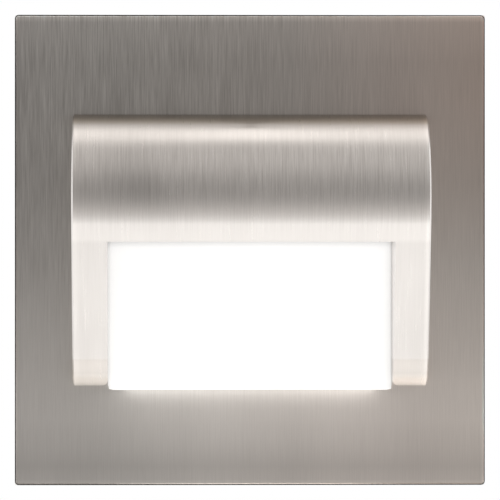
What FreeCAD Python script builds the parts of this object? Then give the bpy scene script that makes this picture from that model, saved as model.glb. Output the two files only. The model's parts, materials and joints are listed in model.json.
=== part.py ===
"""Recessed step light for a 60 mm wall box: a square steel plate with a cast hood over a lit window.

Millimetres. +Z is up and the light looks along -Y. The origin is the middle of the plate on the wall's
surface, so what shows has y below 0 and what sits in the wall box has y above 0.
"""
import FreeCAD, Part
import Sketcher
import math
import os

# ---------------------------------------------------------------- driving dimensions

SIZES = {
    # face plate, a folded pan of sheet steel
    "plate_width": 75.0,
    "plate_depth": 7.0,
    "plate_gauge": 0.8,
    "plate_bend": 1.2,
    # hood: two round noses joined by a straight slope, with an arm at each side of the window
    "arm_width": 5.55,
    "hood_top_radius": 13.5,
    "hood_top_rise": 8.1,
    "hood_foot_radius": 6.5,
    "hood_foot_drop": 15.1,
    "hood_wall": 1.5,
    "arm_wall": 1.2,
    "arm_corner": 1.0,
    "hood_edge": 0.4,
    "window_inset": 4.15,
    "window_top": 1.3,
    # opal diffuser in the plate's opening
    "diffuser_reach": 0.55,
    "diffuser_rise": 13.0,
    "diffuser_proud": 1.2,
    "diffuser_wall": 1.6,
    "diffuser_flange": 1.2,
    "diffuser_lap_side": 1.2,
    "diffuser_lap_end": 4.2,
    "diffuser_edge": 0.4,
    "lap_gap": 0.1,
    "opening_gap": 0.15,
    "opening_corner": 0.9,
    "seal_thickness": 0.6,
    # screws that clamp hood, plate, seal, diffuser and tray together
    "hood_screw_inset": 2.6,
    "hood_screw_lift": 6.9,
    "hood_screw_radius": 1.0,
    "hood_screw_length": 8.0,
    "hood_screw_head_radius": 2.31,
    "hood_screw_head_height": 1.4,
    "hood_hole_depth": 5.0,
    "hood_boss_skin": 1.0,
    "hood_boss_radius": 2.4,
    "clearance_hole_gap": 0.2,
    "thread_gap": 0.03,
    # light tray
    "tray_inset": 0.7,
    "tray_flange": 2.0,
    "tray_wall": 1.5,
    "bowl_depth": 7.4,
    "throat_height": 24.0,
    "throat_depth": 4.0,
    "collar_height": 4.0,
    "collar_width": 3.4,
    "spigot_height": 3.0,
    "spigot_gap": 0.15,
    "gasket_gap": 2.0,
    # hooks of the tray that hold the lamp board and what cools it
    "hook_width": 6.0,
    "hook_arm": 1.5,
    "hook_root": 3.0,
    "hook_gap": 0.1,
    "hook_nose": 1.0,
    "hook_bevel": 0.4,
    # lamp board and what cools it
    "led_board_post_gap": 1.9,
    "led_board_side": 1.5,
    "led_board_end": 5.0,
    "led_board_cut": 2.5,
    "led_board_thickness": 1.6,
    "led_width": 3.0,
    "led_height": 2.8,
    "led_thickness": 0.7,
    "led_pitch_x": 10.0,
    "led_pitch_z": 9.0,
    "led_rim": 0.35,
    "led_well_depth": 0.25,
    "pad_thickness": 0.5,
    "pad_inset": 1.0,
    "spreader_thickness": 1.6,
    # driver board on the heat spreader's folded tabs
    "driver_board_gap": 3.2,
    "driver_board_cut": 12.8,
    "driver_board_thickness": 1.6,
    "tab_height": 5.4,
    "tab_width": 6.0,
    "tab_z": 10.0,
    "tongue_width": 3.0,
    "tongue_tail": 1.0,
    "slot_gap": 0.1,
    # parts on the driver board
    "capacitor_radius": 3.15,
    "capacitor_height": 8.0,
    "capacitor_z": 17.2,
    "inductor_width": 7.3,
    "inductor_height": 4.5,
    "inductor_z": 1.0,
    "inductor_corner": 1.6,
    "bridge_x": -9.0,
    "bridge_width": 6.4,
    "bridge_depth": 8.2,
    "bridge_height": 2.4,
    "bridge_lead_width": 1.1,
    "bridge_lead_length": 1.0,
    "bridge_lead_pitch": 5.0,
    "chip_x": 8.0,
    "chip_z": 3.0,
    "chip_width": 3.9,
    "chip_length": 4.9,
    "chip_height": 1.5,
    "chip_lead_pitch": 1.27,
    "chip_lead_width": 0.42,
    "chip_lead_length": 0.95,
    "lead_thickness": 0.22,
    "lead_shoulder": 0.4,
    "resistor_length": 3.2,
    "resistor_width": 1.6,
    "resistor_height": 0.55,
    "resistor_x": 8.0,
    "resistor_z": -5.0,
    "resistor_pitch": 2.4,
    "resistor_cap": 0.5,
    "resistor_cap_rise": 0.05,
    # pins that link the two boards
    "link_z": 10.0,
    "link_pitch": 2.54,
    "link_pin_width": 0.64,
    "link_pin_tail": 0.8,
    "link_block_height": 2.5,
    "link_block_width": 2.5,
    "link_slot_gap": 0.6,
    # rear cover with the terminal bay and two screw columns
    "cover_radius": 26.8,
    "cover_wall": 1.8,
    "cover_over_terminal": 0.8,
    "column_inset": 4.8,
    "column_radius": 3.4,
    "column_reach": 3.1,
    "column_floor": 2.5,
    "counterbore_gap": 0.3,
    "overrun": 1.0,
    "post_radius": 2.6,
    "cover_screw_radius": 1.1,
    "cover_screw_length": 8.0,
    "cover_screw_head_radius": 2.1,
    "cover_screw_head_height": 1.5,
    "column_gap": 0.5,
    # two pole terminal with rising cages
    "terminal_width": 10.4,
    "terminal_depth": 9.0,
    "terminal_height": 10.5,
    "terminal_inset": 3.4,
    "terminal_pitch": 5.0,
    "terminal_wall": 1.2,
    "terminal_roof": 2.1,
    "terminal_chamber": 3.9,
    "terminal_recess": 1.5,
    "wire_hole_radius": 1.3,
    "wire_hole_rise": 2.7,
    "bay_gap": 0.3,
    "cage_width": 3.6,
    "cage_depth": 4.4,
    "cage_bar_thickness": 0.6,
    "cage_side_thickness": 0.45,
    "cage_top_thickness": 1.2,
    "cage_window": 3.9,
    "cage_lift_gap": 0.6,
    "contact_width": 2.5,
    "contact_thickness": 0.8,
    "contact_rise": 4.1,
    "contact_pin_width": 1.0,
    "contact_pin_tail": 1.2,
    "terminal_screw_radius": 1.25,
    "terminal_screw_head_radius": 1.7,
    "terminal_screw_head_height": 1.2,
    "terminal_screw_gap": 0.1,
    "slot_width": 0.6,
    "slot_depth": 0.6,
    "tip_gap": 0.05,
    # leaf springs that grip the wall box
    "spring_gauge": 0.5,
    "spring_width": 8.0,
    "spring_pivot_out": 0.8,
    "spring_pivot_inset": 3.4,
    "spring_bead_radius": 1.0,
    "spring_flare_angle": 15.4,
    "spring_straight": 17.0,
    "spring_tip_radius": 3.5,
    "spring_tip_angle": 60.0,
    "spring_roll_angle": 280.0,
    "socket_gap": 0.08,
    "socket_end_gap": 0.3,
    "socket_floor": 1.0,
    "socket_wall": 0.95,
    "socket_mouth": 0.25,
}

doc = FreeCAD.newDocument("StepLight")
sheet = doc.addObject("Spreadsheet::Sheet", "Sizes")
for row, (alias, number) in enumerate(SIZES.items(), start=1):
    sheet.set(f"A{row}", alias.replace("_", " "))
    sheet.set(f"B{row}", str(number))
    sheet.setAlias(f"B{row}", alias)
doc.recompute()


class Size:
    """A length as a formula of the sheet's cells: it binds to a property and also has a value now."""

    def __init__(self, formula):
        self.formula = formula

    def __add__(self, other):
        return Size(f"({self.formula} + {formula_of(other)})")

    def __sub__(self, other):
        return Size(f"({self.formula} - {formula_of(other)})")

    def __mul__(self, other):
        return Size(f"({self.formula} * {formula_of(other)})")

    def __truediv__(self, other):
        return Size(f"({self.formula} / {formula_of(other)})")

    def __neg__(self):
        return Size(f"(0 - {self.formula})")

    def __float__(self):
        return float(sheet.evalExpression(self.formula))


def formula_of(value):
    """The formula of a Size, or a plain number as text."""
    if isinstance(value, Size):
        return value.formula
    return repr(float(value))


def cell(alias):
    """The cell of the sheet that has this alias."""
    return Size(f"Sizes.{alias}")


def bind(target, path, value):
    """Tie one property of an object to a formula of the sheet."""
    target.setExpression(path, formula_of(value))


# ---------------------------------------------------------------- sketches and features


def new_body(name):
    """A body for one sub-part, labelled with its node's name."""
    body = doc.addObject("PartDesign::Body", name)
    body.Label = name
    return body


def new_sketch(body, name, role, offset=None):
    """A sketch on one of the body's own planes, moved along the plane's normal by offset."""
    sketch = body.newObject("Sketcher::SketchObject", name)
    plane = next(item for item in body.Origin.OriginFeatures if item.Role == role)
    sketch.AttachmentSupport = [(plane, "")]
    sketch.MapMode = "FlatFace"
    if offset is not None:
        bind(sketch, "AttachmentOffset.Base.z", offset)
    doc.recompute()
    return sketch


def facing_sketch(body, name, depth):
    """A sketch seen from the front: its axes are X and Z, and it lies at y = depth."""
    return new_sketch(body, name, "XZ_Plane", -depth)


def dimension(sketch, kind, items, value):
    """A driving dimension of a sketch, bound to the sheet."""
    index = sketch.addConstraint(Sketcher.Constraint(kind, *items, float(value)))
    bind(sketch, f"Constraints[{index}]", value)


def place_point(sketch, geometry, point, across, up):
    """Fix a point of a sketch at its distance from the origin, both ways."""
    dimension(sketch, "DistanceX", (-1, 1, geometry, point), across)
    dimension(sketch, "DistanceY", (-1, 1, geometry, point), up)


def vector(across, up):
    return FreeCAD.Vector(float(across), float(up), 0)


def draw_circle(sketch, radius, across, up):
    circle = Part.Circle(vector(across, up), FreeCAD.Vector(0, 0, 1), float(radius))
    index = sketch.addGeometry(circle)
    dimension(sketch, "Radius", (index,), radius)
    place_point(sketch, index, 3, across, up)


def draw_polygon(sketch, corners):
    """Straight sides through corners, each corner placed from the origin."""
    first = sketch.GeometryCount
    count = len(corners)
    for number, corner in enumerate(corners):
        following = corners[(number + 1) % count]
        sketch.addGeometry(Part.LineSegment(vector(*corner), vector(*following)))
    for number, corner in enumerate(corners):
        before = first + (number - 1) % count
        sketch.addConstraint(Sketcher.Constraint("Coincident", before, 2, first + number, 1))
        place_point(sketch, first + number, 1, *corner)


def draw_rectangle(sketch, left, right, bottom, top):
    draw_polygon(sketch, [(left, bottom), (right, bottom), (right, top), (left, top)])


def draw_rounded(sketch, left, right, bottom, top, corner):
    """A rectangle with its four corners rounded alike."""
    x0, x1, z0, z1, r = (float(value) for value in (left, right, bottom, top, corner))
    first = sketch.GeometryCount
    centres = [(x1 - r, z0 + r), (x1 - r, z1 - r), (x0 + r, z1 - r), (x0 + r, z0 + r)]
    for quarter, centre in enumerate(centres):
        start = math.radians(90 * quarter - 90)
        circle = Part.Circle(FreeCAD.Vector(*centre, 0), FreeCAD.Vector(0, 0, 1), r)
        sketch.addGeometry(Part.ArcOfCircle(circle, start, start + math.pi / 2))
    for quarter in range(4):
        start = sketch.getPoint(first + quarter, 2)
        end = sketch.getPoint(first + (quarter + 1) % 4, 1)
        sketch.addGeometry(Part.LineSegment(start, end))
    for quarter in range(4):
        arc, line = first + quarter, first + 4 + quarter
        following = first + (quarter + 1) % 4
        sketch.addConstraint(Sketcher.Constraint("Tangent", arc, 2, line, 1))
        sketch.addConstraint(Sketcher.Constraint("Tangent", line, 2, following, 1))
        way = "Vertical" if quarter % 2 == 0 else "Horizontal"
        sketch.addConstraint(Sketcher.Constraint(way, line))
        if quarter:
            sketch.addConstraint(Sketcher.Constraint("Equal", first, arc))
    dimension(sketch, "Radius", (first,), corner)
    right_side, top_side, left_side, bottom_side = (first + 4 + side for side in range(4))
    dimension(sketch, "DistanceX", (-1, 1, right_side, 1), right)
    dimension(sketch, "DistanceX", (-1, 1, left_side, 1), left)
    dimension(sketch, "DistanceY", (-1, 1, top_side, 1), top)
    dimension(sketch, "DistanceY", (-1, 1, bottom_side, 1), bottom)


def pad(body, name, sketch, length):
    """Add the sketch's outline to the body, along the sketch's normal."""
    feature = body.newObject("PartDesign::Pad", name)
    feature.Profile = sketch
    bind(feature, "Length", length)
    doc.recompute()


def pocket(body, name, sketch, length):
    """Cut the sketch's outline out of the body, against the sketch's normal."""
    before = body.Shape.Volume
    feature = body.newObject("PartDesign::Pocket", name)
    feature.Profile = sketch
    bind(feature, "Length", length)
    doc.recompute()
    assert body.Shape.Volume < before, f"{name} cuts nothing"


def pad_slab(body, name, front, back, draw):
    """Add a slab from y = front to y = back with the outline that draw puts in a sketch."""
    sketch = facing_sketch(body, name + "_outline", back)
    draw(sketch)
    pad(body, name, sketch, back - front)


def pocket_slab(body, name, front, back, draw):
    """Cut from y = front to y = back with the outline that draw puts in a sketch."""
    sketch = facing_sketch(body, name + "_outline", front)
    draw(sketch)
    pocket(body, name, sketch, back - front)


def pad_across(body, name, left, right, draw):
    """Add from x = left to x = right; the sketch's axes are Y and Z."""
    sketch = new_sketch(body, name + "_outline", "YZ_Plane", left)
    draw(sketch)
    pad(body, name, sketch, right - left)


def pocket_across(body, name, left, right, draw):
    """Cut from x = right to x = left; the sketch's axes are Y and Z."""
    sketch = new_sketch(body, name + "_outline", "YZ_Plane", right)
    draw(sketch)
    pocket(body, name, sketch, right - left)


def pad_upright(body, name, bottom, top, draw):
    """Add from z = bottom to z = top; the sketch's axes are X and Y."""
    sketch = new_sketch(body, name + "_outline", "XY_Plane", bottom)
    draw(sketch)
    pad(body, name, sketch, top - bottom)


def pocket_upright(body, name, bottom, top, draw):
    """Cut from z = top to z = bottom; the sketch's axes are X and Y."""
    sketch = new_sketch(body, name + "_outline", "XY_Plane", top)
    draw(sketch)
    pocket(body, name, sketch, top - bottom)


def fillet_edges(body, name, radius, wanted):
    """Round the edges of the body for which wanted(edge) is true."""
    base = body.Tip
    names = [f"Edge{n}" for n, edge in enumerate(base.Shape.Edges, start=1) if wanted(edge)]
    fillet = body.newObject("PartDesign::Fillet", name)
    fillet.Base = (base, names)
    bind(fillet, "Radius", radius)
    doc.recompute()


def chamfer_edges(body, name, size, wanted):
    """Bevel the edges of the body for which wanted(edge) is true."""
    base = body.Tip
    names = [f"Edge{n}" for n, edge in enumerate(base.Shape.Edges, start=1) if wanted(edge)]
    chamfer = body.newObject("PartDesign::Chamfer", name)
    chamfer.Base = (base, names)
    bind(chamfer, "Size", size)
    doc.recompute()


def lies_at(edge, axis, value):
    """Whether an edge lies in the plane where its x, y or z has this value."""
    low, high = (getattr(edge.BoundBox, axis + side) for side in ("Min", "Max"))
    return abs(low - float(value)) < 1e-5 and abs(high - float(value)) < 1e-5


# ---------------------------------------------------------------- primitives and booleans


def lay_along_y(item, front, back, x, z):
    """Turn an upright round or hexagonal bar to lie from y = front to y = back."""
    bind(item, "Height", back - front)
    item.Placement.Rotation = FreeCAD.Rotation(FreeCAD.Vector(1, 0, 0), -90)
    bind(item, "Placement.Base.x", x)
    bind(item, "Placement.Base.y", front)
    bind(item, "Placement.Base.z", z)
    return item


def rod(name, radius, front, back, x, z):
    """A cylinder along Y."""
    item = doc.addObject("Part::Cylinder", name)
    bind(item, "Radius", radius)
    return lay_along_y(item, front, back, x, z)


def hexagon(name, corner_radius, front, back, x, z):
    """A hexagonal bar along Y."""
    item = doc.addObject("Part::Prism", name)
    bind(item, "Circumradius", corner_radius)
    return lay_along_y(item, front, back, x, z)


def block(name, left, right, front, back, bottom, top):
    """A box between two values on each axis."""
    item = doc.addObject("Part::Box", name)
    bind(item, "Length", right - left)
    bind(item, "Width", back - front)
    bind(item, "Height", top - bottom)
    bind(item, "Placement.Base.x", left)
    bind(item, "Placement.Base.y", front)
    bind(item, "Placement.Base.z", bottom)
    return item


def joined(name, items):
    item = doc.addObject("Part::MultiFuse", name)
    item.Shapes = items
    item.Refine = True
    return item


def cut(name, base, tool):
    item = doc.addObject("Part::Cut", name)
    item.Base = base
    item.Tool = tool
    return item


def group(name, items):
    """Separate solids that share one node."""
    item = doc.addObject("Part::Compound", name)
    item.Links = items
    return item


ZERO = Size("0.0")
nodes = []


def finish(item, name):
    """Keep an object as the sub-part of this name."""
    item.Label = name
    nodes.append(item)


# ---------------------------------------------------------------- depths, from front to back

plate_face = -cell("plate_depth")
plate_inside = plate_face + cell("plate_gauge")
diffuser_face = plate_face - cell("diffuser_proud")
seal_back = plate_inside + cell("seal_thickness")
tray_face = seal_back + cell("diffuser_flange")
tray_back = tray_face + cell("tray_flange")
collar_seat = tray_back + cell("collar_height")
throat_front = tray_face + cell("bowl_depth")
led_board_front = throat_front + cell("throat_depth")
led_board_back = led_board_front + cell("led_board_thickness")
spreader_front = led_board_back + cell("pad_thickness")
spreader_back = spreader_front + cell("spreader_thickness")
driver_front = spreader_back + cell("tab_height")
driver_back = driver_front + cell("driver_board_thickness")
terminal_back = driver_back + cell("terminal_height")
cover_back = terminal_back + cell("cover_over_terminal")
cover_floor = cover_back - cell("cover_wall")
column_front = driver_front - cell("column_reach")
column_seat = column_front + cell("column_floor")

# ---------------------------------------------------------------- outlines that pieces share

plate_half = cell("plate_width") / 2
window_half = cell("cover_radius") - cell("window_inset")
hood_foot = -(cell("hood_foot_drop") + cell("hood_foot_radius"))
diffuser_bottom = hood_foot - cell("diffuser_reach")
opening_bottom = diffuser_bottom - cell("opening_gap")
opening_top = cell("diffuser_rise") + cell("opening_gap")
diffuser_half = window_half - cell("opening_gap")
lap_half = diffuser_half + cell("diffuser_lap_side")
lap_bottom = diffuser_bottom - cell("diffuser_lap_end")
lap_top = cell("diffuser_rise") + cell("diffuser_lap_end")
hood_half = window_half + cell("arm_width")
screw_x = hood_half - cell("hood_screw_inset")
screw_heights = (cell("hood_top_rise") + cell("hood_screw_lift"), -cell("hood_foot_drop"))
screw_places = [(screw_x * side, height) for side in (-1, 1) for height in screw_heights]
screw_hole_radius = cell("hood_screw_radius") + cell("clearance_hole_gap")


def draw_screw_holes(sketch):
    for x, z in screw_places:
        draw_circle(sketch, screw_hole_radius, x, z)


def draw_opening(sketch):
    draw_rounded(sketch, -window_half, window_half, opening_bottom, opening_top, cell("opening_corner"))


# ---------------------------------------------------------------- face plate


def draw_square(half):
    """A drawing of a square about the middle of the plate."""
    return lambda sketch: draw_rectangle(sketch, -half, half, -half, half)


def make_face_plate():
    body = new_body("face_plate")
    pad_slab(body, "plate_block", plate_face, ZERO, draw_square(plate_half))
    fillet_edges(body, "plate_fold", cell("plate_bend"), lambda edge: lies_at(edge, "Y", plate_face))
    pocket_slab(body, "plate_hollow", plate_inside, ZERO, draw_square(plate_half - cell("plate_gauge")))
    pocket_slab(body, "plate_opening", plate_face, plate_inside, draw_opening)
    pocket_slab(body, "plate_holes", plate_face, plate_inside, draw_screw_holes)
    finish(body, "face_plate")


make_face_plate()

# ---------------------------------------------------------------- hood

hood_front = plate_face - cell("hood_top_radius")


def draw_teardrop(sketch, inset):
    """The hood from the side: two arcs centred on the plate's face and the slope tangent to both."""
    face, rise, drop = plate_face, cell("hood_top_rise"), cell("hood_foot_drop")
    top_radius = cell("hood_top_radius") - inset
    foot_radius = cell("hood_foot_radius") - inset
    tilt = math.asin((float(top_radius) - float(foot_radius)) / (float(rise) + float(drop)))
    axis = FreeCAD.Vector(0, 0, 1)
    top_circle = Part.Circle(vector(face, rise), axis, float(top_radius))
    foot_circle = Part.Circle(vector(face, -drop), axis, float(foot_radius))
    top = sketch.addGeometry(Part.ArcOfCircle(top_circle, math.pi / 2, math.pi + tilt))
    foot = sketch.addGeometry(Part.ArcOfCircle(foot_circle, math.pi + tilt, 1.5 * math.pi))
    slope = sketch.addGeometry(Part.LineSegment(sketch.getPoint(top, 2), sketch.getPoint(foot, 1)))
    base = sketch.addGeometry(Part.LineSegment(sketch.getPoint(foot, 2), sketch.getPoint(top, 1)))
    sketch.addConstraint(Sketcher.Constraint("Tangent", top, 2, slope, 1))
    sketch.addConstraint(Sketcher.Constraint("Tangent", slope, 2, foot, 1))
    sketch.addConstraint(Sketcher.Constraint("Coincident", foot, 2, base, 1))
    sketch.addConstraint(Sketcher.Constraint("Coincident", base, 2, top, 1))
    sketch.addConstraint(Sketcher.Constraint("Vertical", base))
    sketch.addConstraint(Sketcher.Constraint("PointOnObject", top, 3, base))
    sketch.addConstraint(Sketcher.Constraint("PointOnObject", foot, 3, base))
    dimension(sketch, "Radius", (top,), top_radius)
    dimension(sketch, "Radius", (foot,), foot_radius)
    place_point(sketch, top, 3, face, rise)
    dimension(sketch, "DistanceY", (-1, 1, foot, 3), -drop)


def draw_arm_corner(sketch, side):
    """The corner of an arm's end beside the window, outside a round that faces the window."""
    edge = window_half * side
    centre = (window_half + cell("arm_corner")) * side
    below = hood_foot - cell("arm_corner")
    round_height = hood_foot + cell("arm_corner")
    circle = Part.Circle(vector(centre, round_height), FreeCAD.Vector(0, 0, 1), float(cell("arm_corner")))
    start, end = (math.pi, 1.5 * math.pi) if side > 0 else (1.5 * math.pi, 2 * math.pi)
    arc = sketch.addGeometry(Part.ArcOfCircle(circle, start, end))
    beside, under = (1, 2) if side > 0 else (2, 1)
    window_side = sketch.addGeometry(Part.LineSegment(vector(edge, round_height), vector(edge, below)))
    floor = sketch.addGeometry(Part.LineSegment(vector(edge, below), vector(centre, below)))
    outer_side = sketch.addGeometry(Part.LineSegment(vector(centre, below), vector(centre, hood_foot)))
    sketch.addConstraint(Sketcher.Constraint("Tangent", arc, beside, window_side, 1))
    sketch.addConstraint(Sketcher.Constraint("Coincident", window_side, 2, floor, 1))
    sketch.addConstraint(Sketcher.Constraint("Coincident", floor, 2, outer_side, 1))
    sketch.addConstraint(Sketcher.Constraint("Coincident", outer_side, 2, arc, under))
    sketch.addConstraint(Sketcher.Constraint("PointOnObject", arc, 3, outer_side))
    sketch.addConstraint(Sketcher.Constraint("Horizontal", floor))
    sketch.addConstraint(Sketcher.Constraint("Vertical", window_side))
    sketch.addConstraint(Sketcher.Constraint("Vertical", outer_side))
    dimension(sketch, "Radius", (arc,), cell("arm_corner"))
    place_point(sketch, floor, 1, edge, below)
    dimension(sketch, "DistanceY", (-1, 1, arc, 3), round_height)


def make_hood():
    body = new_body("hood")
    core_out = hood_half - cell("arm_wall")
    core_in = window_half + cell("arm_wall")
    boss_front = plate_face - cell("hood_hole_depth") - cell("hood_boss_skin")

    def draw_bosses(sketch):
        for x, z in screw_places:
            draw_circle(sketch, cell("hood_boss_radius"), x, z)

    def draw_threads(sketch):
        for x, z in screw_places:
            draw_circle(sketch, cell("hood_screw_radius") + cell("thread_gap"), x, z)

    pad_across(body, "hood_block", -hood_half, hood_half, lambda sketch: draw_teardrop(sketch, ZERO))
    chamfer_edges(body, "hood_ends", cell("hood_edge"),
                 lambda edge: (lies_at(edge, "X", hood_half) or lies_at(edge, "X", -hood_half))
                 and not lies_at(edge, "Y", plate_face))
    pocket_across(body, "hood_hollow", -window_half, window_half,
                  lambda sketch: draw_teardrop(sketch, cell("hood_wall")))
    pocket_across(body, "right_core", core_in, core_out,
                  lambda sketch: draw_teardrop(sketch, cell("hood_wall")))
    pocket_across(body, "left_core", -core_out, -core_in,
                  lambda sketch: draw_teardrop(sketch, cell("hood_wall")))
    pocket_slab(body, "window", hood_front, plate_face,
                lambda sketch: draw_rectangle(sketch, -window_half, window_half,
                                              hood_foot - cell("hood_wall"), cell("window_top")))
    pocket_slab(body, "right_arm_corner", hood_front, plate_face, lambda sketch: draw_arm_corner(sketch, 1))
    pocket_slab(body, "left_arm_corner", hood_front, plate_face, lambda sketch: draw_arm_corner(sketch, -1))
    pad_slab(body, "hood_bosses", boss_front, plate_face, draw_bosses)
    pocket_slab(body, "hood_threads", plate_face - cell("hood_hole_depth"), plate_face, draw_threads)
    finish(body, "hood")


make_hood()

# ---------------------------------------------------------------- diffuser and its seal


def draw_lap(sketch):
    draw_rectangle(sketch, -lap_half, lap_half, lap_bottom, lap_top)


def make_diffuser():
    body = new_body("diffuser")
    wall = cell("diffuser_wall")
    bottom, top = diffuser_bottom, cell("diffuser_rise")
    pad_slab(body, "diffuser_flange", seal_back, tray_face, draw_lap)
    pad_slab(body, "diffuser_cap", diffuser_face, seal_back,
             lambda sketch: draw_rounded(sketch, -diffuser_half, diffuser_half, bottom, top,
                                         cell("opening_corner") - cell("opening_gap")))
    chamfer_edges(body, "diffuser_bevel", cell("diffuser_edge"),
                  lambda edge: lies_at(edge, "Y", diffuser_face))
    pocket_slab(body, "diffuser_hollow", diffuser_face + wall, tray_face,
                lambda sketch: draw_rectangle(sketch, wall - diffuser_half, diffuser_half - wall,
                                              bottom + wall, top - wall))
    finish(body, "diffuser")


def make_diffuser_seal():
    body = new_body("diffuser_seal")
    pad_slab(body, "seal_frame", plate_inside, seal_back, draw_lap)
    pocket_slab(body, "seal_opening", plate_inside, seal_back, draw_opening)
    finish(body, "diffuser_seal")


make_diffuser()
make_diffuser_seal()

# ---------------------------------------------------------------- light tray and wall gasket

tray_half = plate_half - cell("plate_gauge") - cell("tray_inset")
cover_inner = cell("cover_radius") - cell("cover_wall")
post_x = cell("cover_radius") - cell("column_inset")
post_places = [(post_x, ZERO), (-post_x, ZERO)]
led_half = post_x - cell("post_radius") - cell("led_board_post_gap")
led_rise = cell("throat_height") / 2 + cell("led_board_end")


def circles(radius, places):
    """A drawing of equal circles at places."""
    def draw(sketch):
        for x, z in places:
            draw_circle(sketch, radius, x, z)
    return draw


def mouth(wall):
    """Left, right, bottom and top of the tray's mouth behind the diffuser, outside a wall."""
    margin = cell("diffuser_wall") - wall
    half = diffuser_half - margin
    return -half, half, diffuser_bottom + margin, cell("diffuser_rise") - margin


def throat(wall):
    """Left, right, bottom and top of the straight throat in front of the lamps, outside a wall."""
    half = led_half - cell("led_board_side") + wall
    rise = cell("throat_height") / 2 + wall
    return -half, half, -rise, rise


def flare(body, name, kind, wall):
    """The flared part of the tray, a wedge from its mouth to its throat."""
    feature = body.newObject(kind, name)
    near, far = mouth(wall), throat(wall)
    for path, value in zip(("Xmin", "Xmax", "Zmin", "Zmax"), near):
        bind(feature, path, value)
    for path, value in zip(("X2min", "X2max", "Z2min", "Z2max"), far):
        bind(feature, path, value)
    bind(feature, "Ymin", tray_face)
    bind(feature, "Ymax", throat_front)
    doc.recompute()


def draw_hook(sketch, side):
    """One snap hook from the side: a root on the throat's wall, an arm and a bevelled nose."""
    root = (cell("throat_height") / 2 + cell("tray_wall") / 2) * side
    inside = (led_rise + cell("hook_gap")) * side
    outside = inside + cell("hook_arm") * side
    tip = (led_rise - cell("hook_nose")) * side
    seat = spreader_back
    front = led_board_front - cell("hook_root")
    back = seat + cell("hook_nose") + cell("hook_bevel")
    draw_polygon(sketch, [
        (front, root),
        (front, outside),
        (back, outside),
        (back, inside),
        (seat + cell("hook_bevel"), tip),
        (seat, tip),
        (seat, inside),
        (led_board_front, inside),
        (led_board_front, root),
    ])


def make_light_tray():
    body = new_body("light_tray")
    wall = cell("tray_wall")
    collar_inner = cell("cover_radius") - cell("collar_width")
    spigot_back = collar_seat + cell("spigot_height")
    gap = cell("lap_gap")
    hook_half = cell("hook_width") / 2
    centre = [(ZERO, ZERO)]

    pad_slab(body, "tray_plate", plate_inside, tray_back, draw_square(tray_half))
    pocket_slab(body, "tray_recess", plate_inside, tray_face,
                lambda sketch: draw_rectangle(sketch, -lap_half - gap, lap_half + gap,
                                              lap_bottom - gap, lap_top + gap))
    pad_slab(body, "tray_collar", tray_back, collar_seat, circles(cell("cover_radius"), centre))
    pad_slab(body, "tray_spigot", collar_seat, spigot_back,
             circles(cover_inner - cell("spigot_gap"), centre))
    pocket_slab(body, "tray_collar_hollow", tray_back, spigot_back, circles(collar_inner, centre))
    pad_slab(body, "tray_posts", tray_back, column_front, circles(cell("post_radius"), post_places))
    flare(body, "tray_bowl", "PartDesign::AdditiveWedge", wall)
    pad_slab(body, "tray_throat", throat_front, led_board_front,
             lambda sketch: draw_rectangle(sketch, *throat(wall)))
    pad_across(body, "upper_hook", -hook_half, hook_half, lambda sketch: draw_hook(sketch, 1))
    pad_across(body, "lower_hook", -hook_half, hook_half, lambda sketch: draw_hook(sketch, -1))
    flare(body, "tray_light_way", "PartDesign::SubtractiveWedge", ZERO)
    pocket_slab(body, "tray_light_throat", throat_front, led_board_front,
                lambda sketch: draw_rectangle(sketch, *throat(ZERO)))
    pocket_slab(body, "tray_screw_holes", plate_inside, tray_back, draw_screw_holes)
    pocket_slab(body, "post_threads", column_front - cell("cover_screw_length"), column_front,
                circles(cell("cover_screw_radius") + cell("thread_gap"), post_places))
    finish(body, "light_tray")


def make_wall_gasket():
    body = new_body("wall_gasket")
    pad_slab(body, "gasket_frame", tray_back, ZERO, draw_square(tray_half))
    pocket_slab(body, "gasket_middle", tray_back, ZERO, draw_square(hood_half + cell("gasket_gap")))
    finish(body, "wall_gasket")


make_light_tray()
make_wall_gasket()

# ---------------------------------------------------------------- screws


def make_screw(name, kind, head_shape, length, seat, x, z):
    """A screw put in from the back: its head rests at y = seat and its shank points forward."""
    head = head_shape(name + "_head", cell(kind + "_head_radius"), seat,
                      seat + cell(kind + "_head_height"), x, z)
    shank = rod(name + "_shank", cell(kind + "_radius"), seat - length, seat, x, z)
    return joined(name, [head, shank])


def make_screws(name, kind, head_shape, length, seat, places):
    screws = [make_screw(f"{name}_{number}", kind, head_shape, length, seat, x, z)
              for number, (x, z) in enumerate(places, start=1)]
    finish(group(name, screws), name)


make_screws("hood_screws", "hood_screw", hexagon, cell("hood_screw_length"), tray_back, screw_places)
make_screws("cover_screws", "cover_screw", rod, cell("cover_screw_length"), column_seat, post_places)

# ---------------------------------------------------------------- lamp board, thermal pad and heat spreader


def draw_cut_corners(sketch, half, rise, corner, height):
    """A rectangle with its corners cut off, its middle at the given height."""
    draw_polygon(sketch, [
        (corner - half, height - rise),
        (half - corner, height - rise),
        (half, height - rise + corner),
        (half, height + rise - corner),
        (half - corner, height + rise),
        (corner - half, height + rise),
        (-half, height + rise - corner),
        (-half, height - rise + corner),
    ])


link_places = [(cell("link_pitch") / 2, cell("link_z")), (-cell("link_pitch") / 2, cell("link_z"))]
link_slot_half = cell("link_pitch") / 2 + cell("link_pin_width") / 2 + cell("link_slot_gap")
link_slot_rise = cell("link_pin_width") / 2 + cell("link_slot_gap")
tab_half = cell("tab_width") / 2
tongue_half = cell("tongue_width") / 2
tab_places = [(a, cell("tab_z") * b) for a in (-1, 1) for b in (-1, 1)]


def draw_link_slot(sketch):
    draw_rectangle(sketch, -link_slot_half, link_slot_half,
                   cell("link_z") - link_slot_rise, cell("link_z") + link_slot_rise)


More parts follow.
